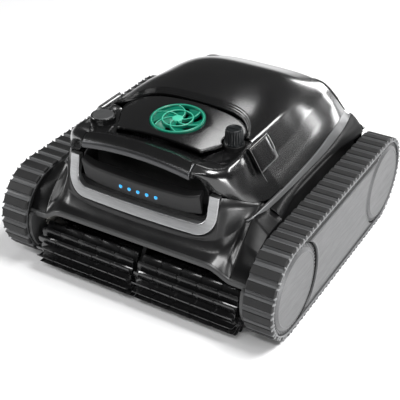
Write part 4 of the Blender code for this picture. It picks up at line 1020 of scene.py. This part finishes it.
def make_sill(side, label):
    """The shell that fills out from the strip towards the belt, widest at both ends."""
    rows = []
    for y in np.linspace(-0.1012, 0.1500, 56):
        low_x, low_z = strip_low(y)
        share = curve_at([(-0.1012, 1.0), (-0.060, 0.55), (-0.020, 0.30), (0.030, 0.30),
                          (0.080, 0.55), (0.135, 1.0), (0.150, 1.0)], y)
        out_x, out_z = mix(low_x + 0.0002, FENDER_X, share), mix(low_z - 0.0022, 0.1275, share)
        row = []
        for u in np.linspace(0.0, 1.0, 9):
            swell = 2.2 * MM * share * math.sin(math.pi * u)
            row.append((side * (mix(low_x - 0.4 * MM, out_x, u) + 0.6 * swell), y,
                        mix(low_z - 0.3 * MM, out_z, u) + 0.8 * swell))
        row.append((side * (out_x + 0.2 * MM), y, out_z - 1.6 * MM))
        rows.append(row)
    # The sill takes the darker fender material: painted shade.
    place(grid("side_sill_" + label, rows, FENDER, (side, 0, 1), 1.4 * MM, 0.4 * MM), "chassis",
          "gloss_black")


for side, label in SIDES:
    make_strip(side, label)
    make_sill(side, label)


def make_rear():
    """The rear shell from the lid's rear edge down, its hinge lugs and the row of slats."""
    panel_x = 0.1503
    section = lid_section(LID_REAR)
    widest = section[-1][0]
    steps = (0.0, 0.25, 0.5, 0.8, 1.1, 1.4, 1.8, 2.2, 2.6, 3.0, 3.15, 3.3, 3.5, 3.7, 4.1, 4.5, 5.0, 5.5, 6.0)
    columns = []
    for top_x, top_z in section:
        top_z -= 12.5 * MM
        edge = top_x / widest
        tuck = 12.0 * MM * edge ** 4
        out_x, in_x = FENDER_X * edge, panel_x * edge
        knots = [(0.0, top_x, 0.1533, top_z),
                 (0.8, mix(top_x, out_x, 0.22), 0.1605 - 0.22 * tuck, mix(top_z, 0.128, 0.22)),
                 (1.8, mix(top_x, out_x, 0.55), 0.1665 - 0.55 * tuck, mix(top_z, 0.128, 0.55)),
                 (3.0, out_x, 0.1700 - tuck, 0.1280), (3.3, in_x, 0.1710 - tuck, 0.1220),
                 (3.7, in_x, 0.1710 - tuck, 0.1120), (5.0, in_x, 0.1680 - tuck, 0.0600),
                 (6.0, in_x, 0.1640 - tuck, 0.0300)]
        columns.append([tuple(curve_at(knots, t)) for t in steps])
    obj = grid("rear_shell", both_sides(columns), GLOSS, (0, 1, 0), 2.2 * MM, 0.6 * MM)
    place(obj, "chassis", "gloss_black", "rear_panel")
    for side, label in SIDES:
        ring = rounded([(153.6, 166.0), (153.6, 180.0), (156.5, 182.0), (159.4, 180.0), (159.4, 166.0)],
                       [1.0, 1.6, 1.0], 4)
        lug = [mm((side * x, y, z) for y, z in ring) for x in (60.3, 66.0)]
        place(bevel(loft("hinge_lug_" + label, lug, SATIN_DARK), 0.5 * MM, 2), "chassis",
              "gloss_black")
    for k in range(7):
        z = 74.0 + 6.5 * k
        slat = []
        for x in np.linspace(-66.0, 66.0, 15):
            y = 168.4 + 0.05 * (z - 60.0) - 12.0 * (abs(x) / 150.3) ** 4
            slat.append(mm((x, y + dy, z + dz) for dy, dz in
                           ((-0.6, -1.6), (1.1, -1.0), (1.5, 0.2), (0.9, 1.3), (-0.6, 1.6))))
        place(bevel(loft("rear_slat_%d" % k, slat, SATIN_DARK), 0.3 * MM, 2), "chassis",
              "dark_plastic")


make_rear()


# ---------------------------------------------------------------- tracks, wheels and covers

AXLE_Y, AXLE_Z = 0.1375, 0.06375
BRUSH_Y, BRUSH_Z = -0.170, 0.032
CLEATS = 51
BELT_RADIUS = 0.06075
STRAIGHT = 2 * AXLE_Y
BEND = math.pi * BELT_RADIUS
LOOP = 2 * (STRAIGHT + BEND)
PITCH = LOOP / CLEATS


def belt_point(distance, height):
    """(y, z) on the belt loop: distance from the bottom centre towards the front."""
    distance %= LOOP
    radius = BELT_RADIUS + height
    if distance < STRAIGHT / 2:
        return (-distance, AXLE_Z - radius)
    distance -= STRAIGHT / 2
    if distance < BEND:
        angle = distance / BELT_RADIUS
        return (-AXLE_Y - radius * math.sin(angle), AXLE_Z - radius * math.cos(angle))
    distance -= BEND
    if distance < STRAIGHT:
        return (-AXLE_Y + distance, AXLE_Z + radius)
    distance -= STRAIGHT
    if distance < BEND:
        angle = distance / BELT_RADIUS
        return (AXLE_Y + radius * math.sin(angle), AXLE_Z + radius * math.cos(angle))
    return (AXLE_Y - (distance - BEND), AXLE_Z - radius)


def belt_body(side, label):
    """The carcass and its ribs in a lighter rubber, painted light for the lit cleat flanks and valleys, the
    dark cleats on it, and the toothed edge painted pale as a painted highlight.
    """
    carcass, cleats, edges = ([], []), ([], []), ([], [])
    steps, root = CLEATS * 4, -1.4

    def section(x, points):
        """A ring at x through (distance along the belt, height in millimetres)."""
        return [(side * x * MM, *belt_point(distance, height * MM)) for distance, height in points]

    def band(profile, target):
        """Adds a profile of (x, height) that runs all the way round the belt."""
        verts, faces = target
        faces.extend(quads(steps, len(profile), True, True, len(verts)))
        for i in range(steps):
            for x, height in profile:
                verts.append((side * x * MM, *belt_point(i * LOOP / steps, height * MM)))

    def across(middle, offsets, heights, x0, x1, chamfer, target):
        """A raised bar across the belt with sloping flanks and chamfered ends."""
        rings = []
        for x, drop in ((x0, chamfer), (x0 + chamfer, 0.0), (x1 - chamfer, 0.0), (x1, chamfer)):
            levels = (root, max(heights[0] - drop, root), max(heights[1] - drop, root), root)
            rings.append(section(x, [(middle + d * MM, h) for d, h in zip(offsets, levels)]))
        add_body(target, rings)

    band([(157.2, -3.4), (157.2, root), (158.2, -0.6), (192.2, -0.6), (194.0, root), (194.0, -3.4)],
         carcass)
    for i in range(CLEATS):
        middle = (i + 0.5) * PITCH
        across(middle, (-7.4, -6.4, 3.2, 3.8), (3.0, 2.9), 157.2, 194.9, 1.4, cleats)
        across(middle, (-9.0, -8.4, -7.0, -7.0), (0.5, 1.9), 157.6, 194.4, 0.5, carcass)
        across(middle, (3.4, 3.8, 6.4, 7.4), (1.9, 0.4), 157.6, 194.4, 0.5, carcass)
        for offset in (-7.4, 3.6):
            centre = middle + offset * MM
            rings = []
            for x, spread, low, high in ((194.2, 1.9, -3.2, 2.9), (195.2, 1.8, -3.2, 2.8),
                                         (195.9, 1.0, -3.0, 1.4)):
                corners = ((-spread, low), (-spread * 0.5, high), (spread * 0.5, high), (spread, low))
                rings.append(section(x, [(centre + d * MM, h) for d, h in corners]))
            add_body(edges, rings)
    band([(193.8, -3.4), (193.8, -1.9), (195.3, -1.9), (195.3, -3.4)], edges)

    # Pale toothed edge along the belt: painted highlight.
    place(make("track_edge_teeth_" + label, *edges, TEETH_PAINTED_HIGHLIGHT, 30), "chassis", "track_rubber")
    # Carcass and cleat flanks in the lighter rubber: painted light.
    place(make("track_carcass_" + label, *carcass, CARCASS_PAINTED_LIGHT, 30), "chassis", "track_rubber",
          "track_belt_" + label)
    tread = make("track_tread_" + label, *cleats, TRACK, 30)
    place(bevel(tread, 0.35 * MM, 2, 30), "chassis", "track_rubber")


def make_wheel(end, side, label):
    """Hub cap with a raised satin face, over a toothed drum rim."""
    y = -AXLE_Y if end == "front" else AXLE_Y
    body = "wheel_%s_%s" % (end, label)  # the node and its body share this name
    centre = (0.0, y, AXLE_Z)
    cap = rounded([(188.9, 0.01), (188.9, 50.6), (192.6, 52.4), (194.0, 52.0), (196.4, 47.6),
                   (196.3, 46.8), (195.8, 46.2), (195.9, 0.01)], [0.4, 0.8, 0.8, 0.9, 0.5, 0.5], 3)
    where = "%s_%s" % (end, label)
    place(turned("hub_face_" + where, mm((side * a, r) for a, r in cap), centre, "X", COVER, 112),
          body, "cover_grey", "hub_cap_" + where)
    verts, faces = [], []
    hub_teeth, rim_teeth, steps = 60, 40, 320
    for k in range(hub_teeth):
        middle = 2 * math.pi * (k + 0.5) / hub_teeth
        base = len(verts)
        for x, reach in ((190.2, 57.0), (193.2, 56.7)):
            for radius, spread in ((51.4, 0.030), (reach, 0.014)):
                for sign in (-1, 1):
                    a = middle + sign * spread
                    verts.append((side * x * MM, y + radius * MM * math.cos(a),
                                  AXLE_Z + radius * MM * math.sin(a)))
        faces += [tuple(base + q for q in quad) for quad in
                  ((0, 1, 3, 2), (4, 6, 7, 5), (0, 4, 5, 1), (2, 3, 7, 6), (0, 2, 6, 4), (1, 5, 7, 3))]
    # Hub teeth painted paler than the cover: painted highlight.
    place(bevel(make("hub_teeth_" + where, verts, faces, TEETH_PAINTED_HIGHLIGHT, 30), 0.2 * MM, 1), body, "cover_grey")
    rings = []
    for x, lift in ((158.0, 0.0), (188.0, 0.0), (188.6, 0.0), (188.6, -7.0), (176.0, -7.0),
                    (176.0, -44.0), (158.0, -44.0), (158.0, -7.0)):
        ring = []
        for i in range(steps):
            angle = 2 * math.pi * i / steps
            tooth = 1.0 if i * rim_teeth * 2 // steps % 2 == 0 else 0.0
            radius = 56.6 + lift - (1.3 * tooth if lift == 0.0 else 0.0)
            ring.append((side * x * MM, y + radius * MM * math.cos(angle),
                         AXLE_Z + radius * MM * math.sin(angle)))
        rings.append(ring)
    place(loft("wheel_drum_" + where, rings, MATT_DARK, closed=True, angle=30), body,
          "dark_plastic", body)


def make_cover(side, label):
    """The side panel: flat face, bevelled long edges, and a rim round each hub."""
    def outline(half, radius):
        """(y, z) round the cover: concave round both hubs, straight between them."""
        lean = math.degrees(math.asin(half / radius))
        return (arc((-AXLE_Y, AXLE_Z), radius, -lean, lean, 30)
                + arc((AXLE_Y, AXLE_Z), radius, 180.0 - lean, 180.0 + lean, 30))

    def panel(name, stations, material, slot, *nodes):
        """A body through (x, half height, hub radius) stations in millimetres."""
        rings = [[(side * x * MM, y, z) for y, z in outline(half * MM, radius * MM)]
                 for x, half, radius in stations]
        place(loft(name + label, rings, material, angle=28), "chassis", slot, *nodes)

    panel("side_cover_panel_", ((193.0, 49.4, 58.2), (194.8, 49.2, 58.4), (196.2, 48.4, 58.9),
                                (196.45, 47.8, 59.5), (195.9, 47.0, 61.2), (195.9, 45.4, 63.2)),
          COVER, "cover_grey", "side_cover_" + label)
    panel("side_cover_rail_", ((160.0, 56.0, 57.9), (193.6, 56.0, 57.9), (194.4, 55.2, 58.0),
                               (194.4, 49.2, 58.1), (193.2, 48.8, 58.2)), MATT_DARK, "dark_plastic")


def make_brush(side, label):
    """Thin fins whose outer halves are slit into segments, on a thick glossy core."""
    fins, segments, slit, root = 14, 5, 0.35, 18.0
    low, high = 3.4, 143.4
    length = (high - low) / segments
    blades = ([], [])
    for i in range(fins):
        angle = 2 * math.pi * i / fins
        for s in range(segments):
            start = low + s * length + (0.0 if s == 0 else slit)
            end = low + (s + 1) * length - (0.0 if s == segments - 1 else slit)
            rings = []
            for x, tip in ((start, 29.4), (start + 1.2, 30.9), (end - 1.2, 30.9), (end, 29.4)):
                faces_of = {1: [], -1: []}
                for radius, half in ((root, 1.6), (20.8, 0.9), (26.0, 0.7), (tip - 0.6, 0.7),
                                     (tip, 0.45)):
                    lean = angle - 0.30 * ((radius - root) / 12.9) ** 1.5
                    radial = np.array([math.cos(lean), math.sin(lean)])
                    tangent = np.array([-radial[1], radial[0]])
                    for sign, points in faces_of.items():
                        yz = radial * radius * MM + tangent * sign * half * MM
                        points.append((side * x * MM, BRUSH_Y + yz[0], BRUSH_Z + yz[1]))
                rings.append(faces_of[1] + faces_of[-1][::-1])
            add_body(blades, rings)
    body = "brush_half_" + label
    fin_ring = bevel(make("brush_fins_" + label, *blades, BRUSH, 40), 0.2 * MM, 2, 40)
    place(fin_ring, body, "brush_rubber", "brush_" + label)
    core = [(low, 8.4), (low, 17.6), (low + 0.8, 19.6), (low + 2.0, 20.2)]
    for s in range(1, segments):
        x = low + s * length
        core += [(x - 0.9, 20.2), (x - 0.5, 19.8), (x + 0.5, 19.8), (x + 0.9, 20.2)]
    core += [(high - 2.0, 20.2), (high - 0.8, 19.6), (high, 17.6), (high, 8.4)]
    place(turned("brush_sleeve_" + label, mm((side * x, r) for x, r in core),
                 (0.0, BRUSH_Y, BRUSH_Z), "X", BRUSH_CORE, 96), body, "brush_rubber")


def make_arm(side, label):
    """The inner plate beside the belt, with the arm that carries the brush's outer end."""
    outline = arc((AXLE_Y, AXLE_Z), 0.046, -90.0, 90.0, 24)
    outline += arc((-AXLE_Y, AXLE_Z), 0.046, 90.0, 150.0, 12)
    outline += arc((-AXLE_Y, AXLE_Z), 0.0575, 163.0, 235.0, 24)
    outline += arc((-AXLE_Y, AXLE_Z), 0.046, 250.0, 270.0, 6)
    rings = []
    for x, inset in ((151.2, 0.0), (155.6, 0.0), (156.2, 0.6)):
        scale = 1.0 - inset / 60.0
        rings.append([(side * x * MM, (y + AXLE_Y) * scale - AXLE_Y if y < 0 else y,
                       (z - AXLE_Z) * scale + AXLE_Z) for y, z in outline])
    place(loft("side_arm_" + label, rings, SATIN_ARM), "chassis", "dark_plastic",
          "side_plate_" + label)


for side, label in SIDES:
    belt_body(side, label)
    make_cover(side, label)
    make_brush(side, label)
    make_arm(side, label)
    for end in ("front", "rear"):
        make_wheel(end, side, label)


# ---------------------------------------------------------------- inside: the debris basket

def box_piece(name, low, high, material, width=0.5):
    """A small moulded bar between two corners given in millimetres."""
    corners = ((low[0], low[1]), (high[0], low[1]), (high[0], high[1]), (low[0], high[1]))
    rings = [mm((x, y, z) for x, y in corners) for z in (low[2], high[2])]
    return bevel(loft(name, rings, material), width * MM, 2)


def make_basket():
    """Rim, ribs and carrying handle of the debris basket, round its mesh box."""
    pieces = [("rim_front", (-99.4, -37.2, 171.5), (99.4, -32.9, 176.6)),
              ("rim_rear", (-99.4, 74.9, 171.5), (99.4, 79.2, 176.6)),
              ("rim_left", (-99.4, -33.6, 171.5), (-95.0, 75.6, 176.6)),
              ("rim_right", (95.0, -33.6, 171.5), (99.4, 75.6, 176.6)),
              ("band_front", (-98.8, -36.8, 108.0), (98.8, -35.4, 113.0)),
              ("band_rear", (-98.8, 77.4, 108.0), (98.8, 78.8, 113.0)),
              ("band_left", (-98.8, -36.0, 108.0), (-97.4, 78.0, 113.0)),
              ("band_right", (97.4, -36.0, 108.0), (98.8, 78.0, 113.0))]
    for k in range(7):
        x = -90.0 + 30.0 * k
        pieces.append(("rib_front_%d" % k, (x - 1.4, -37.0, 54.0), (x + 1.4, -35.4, 173.0)))
        pieces.append(("rib_rear_%d" % k, (x - 1.4, 77.4, 54.0), (x + 1.4, 79.0, 173.0)))
    for k in range(5):
        y = -25.0 + 23.0 * k
        pieces.append(("rib_left_%d" % k, (-99.0, y - 1.4, 54.0), (-97.4, y + 1.4, 173.0)))
        pieces.append(("rib_right_%d" % k, (97.4, y - 1.4, 54.0), (99.0, y + 1.4, 173.0)))
    for name, low, high in pieces:
        place(box_piece("basket_" + name, low, high, BASKET_FRAME), "filter_basket", "basket_grey")
    handle = [(x * MM, 21.0 * MM, (168.0 + 7.5 * (1.0 - abs(x / 96.0) ** 6)) * MM)
              for x in np.linspace(-96.0, 96.0, 33)]
    place(tube("basket_handle", handle, 2.6 * MM, BASKET_FRAME, 14), "filter_basket", "basket_grey")


make_basket()


# ---------------------------------------------------------------- finishes of the CAD nodes that stay

FINISH = {
    "axle": STEEL, "brush_core": MATT_DARK, "brush_gear": SATIN_DARK, "drive_gear": GEAR,
    "motor_pinion": GEAR, "drive_motor": STEEL, "pump_motor": STEEL, "lid_hinge_pin": STEEL,
    "battery_pack": BATTERY, "control_box": SATIN_DARK, "filter_basket": BASKET,
    "impeller": SATIN_DARK, "outlet_duct": MATT_DARK, "chassis_tub": MATT_DARK,
    "intake_flap": SATIN_DARK, "brush_centre_bearing": SATIN_DARK,
}


def finish_nodes():
    """Gives each CAD node that stays visible its material."""
    for name, node in NODES.items():
        for prefix, material in FINISH.items():
            if name.startswith(prefix):
                node.data.materials.clear()
                node.data.materials.append(material)


finish_nodes()


# ---------------------------------------------------------------- stage, lights and camera

def aim_at(obj, azimuth, elevation, distance, target):
    """Puts a light or camera at a distance from a target, facing it; azimuth 0 is the front."""
    a, e = math.radians(azimuth), math.radians(elevation)
    away = Vector((math.sin(a) * math.cos(e), -math.cos(a) * math.cos(e), math.sin(e)))
    obj.location = Vector(target) + away * distance
    obj.rotation_euler = away.to_track_quat("Z", "Y").to_euler()


def make_stage():
    """A pale floor that runs out to the horizon, and soft studio lights."""
    shader = Shader("studio_floor")
    shader.colours(shader.noise(3.0), (0.90, 0.90, 0.905), (0.92, 0.92, 0.925))
    shader.roughness(shader.noise(8.0), 0.75, 0.9)
    reach = 9.0
    corners = [(-reach, -reach, 0), (reach, -reach, 0), (reach, reach, 0), (-reach, reach, 0)]
    floor = make("studio_floor", corners, [(0, 1, 2, 3)], shader.material)

    world = bpy.data.worlds.new("studio")
    world.use_nodes = True
    background = world.node_tree.nodes["Background"]
    background.inputs["Color"].default_value = (1.0, 1.0, 1.0, 1.0)
    background.inputs["Strength"].default_value = 0.07
    bpy.context.scene.world = world
    bpy.context.scene.view_settings.view_transform = "Standard"

    def softbox(name, azimuth, elevation, distance, size, power, aim=(0.0, 0.0, 0.1)):
        """A rectangular area light, in watts, that faces its aim."""
        light = bpy.data.lights.new(name, "AREA")
        light.shape = "RECTANGLE"
        light.size, light.size_y = size
        light.energy = power
        obj = bpy.data.objects.new(name, light)
        bpy.context.scene.collection.objects.link(obj)
        aim_at(obj, azimuth, elevation, distance, aim)

    softbox("rear_right_box", 142.0, 30.0, 1.7, (0.60, 0.24), 8.0)
    softbox("rear_low_box", 168.0, 8.0, 2.2, (1.6, 0.35), 13.0)
    softbox("crest_box", 194.0, 50.0, 1.8, (0.40, 0.26), 2.4)
    softbox("overhead_box", 95.0, 66.0, 2.2, (1.0, 0.8), 54.0)
    softbox("front_left_box", -62.0, 20.0, 1.8, (0.35, 0.9), 16.0)
    softbox("front_top_box", 8.0, 50.0, 2.4, (1.4, 0.25), 16.0)
    softbox("cover_box", 84.0, 5.0, 0.9, (0.35, 0.25), 4.5, (0.2, -0.2, 0.06))


def make_camera():
    """The three-quarter view from above the front right corner."""
    data = bpy.data.cameras.new("camera")
    data.sensor_width = 36.0
    data.lens = 83.916
    camera = bpy.data.objects.new("camera", data)
    bpy.context.scene.collection.objects.link(camera)
    aim_at(camera, 30.575, 32.929, 1.2885, (-0.0161, 0.0, 0.0418))
    bpy.context.scene.camera = camera


make_stage()
make_camera()
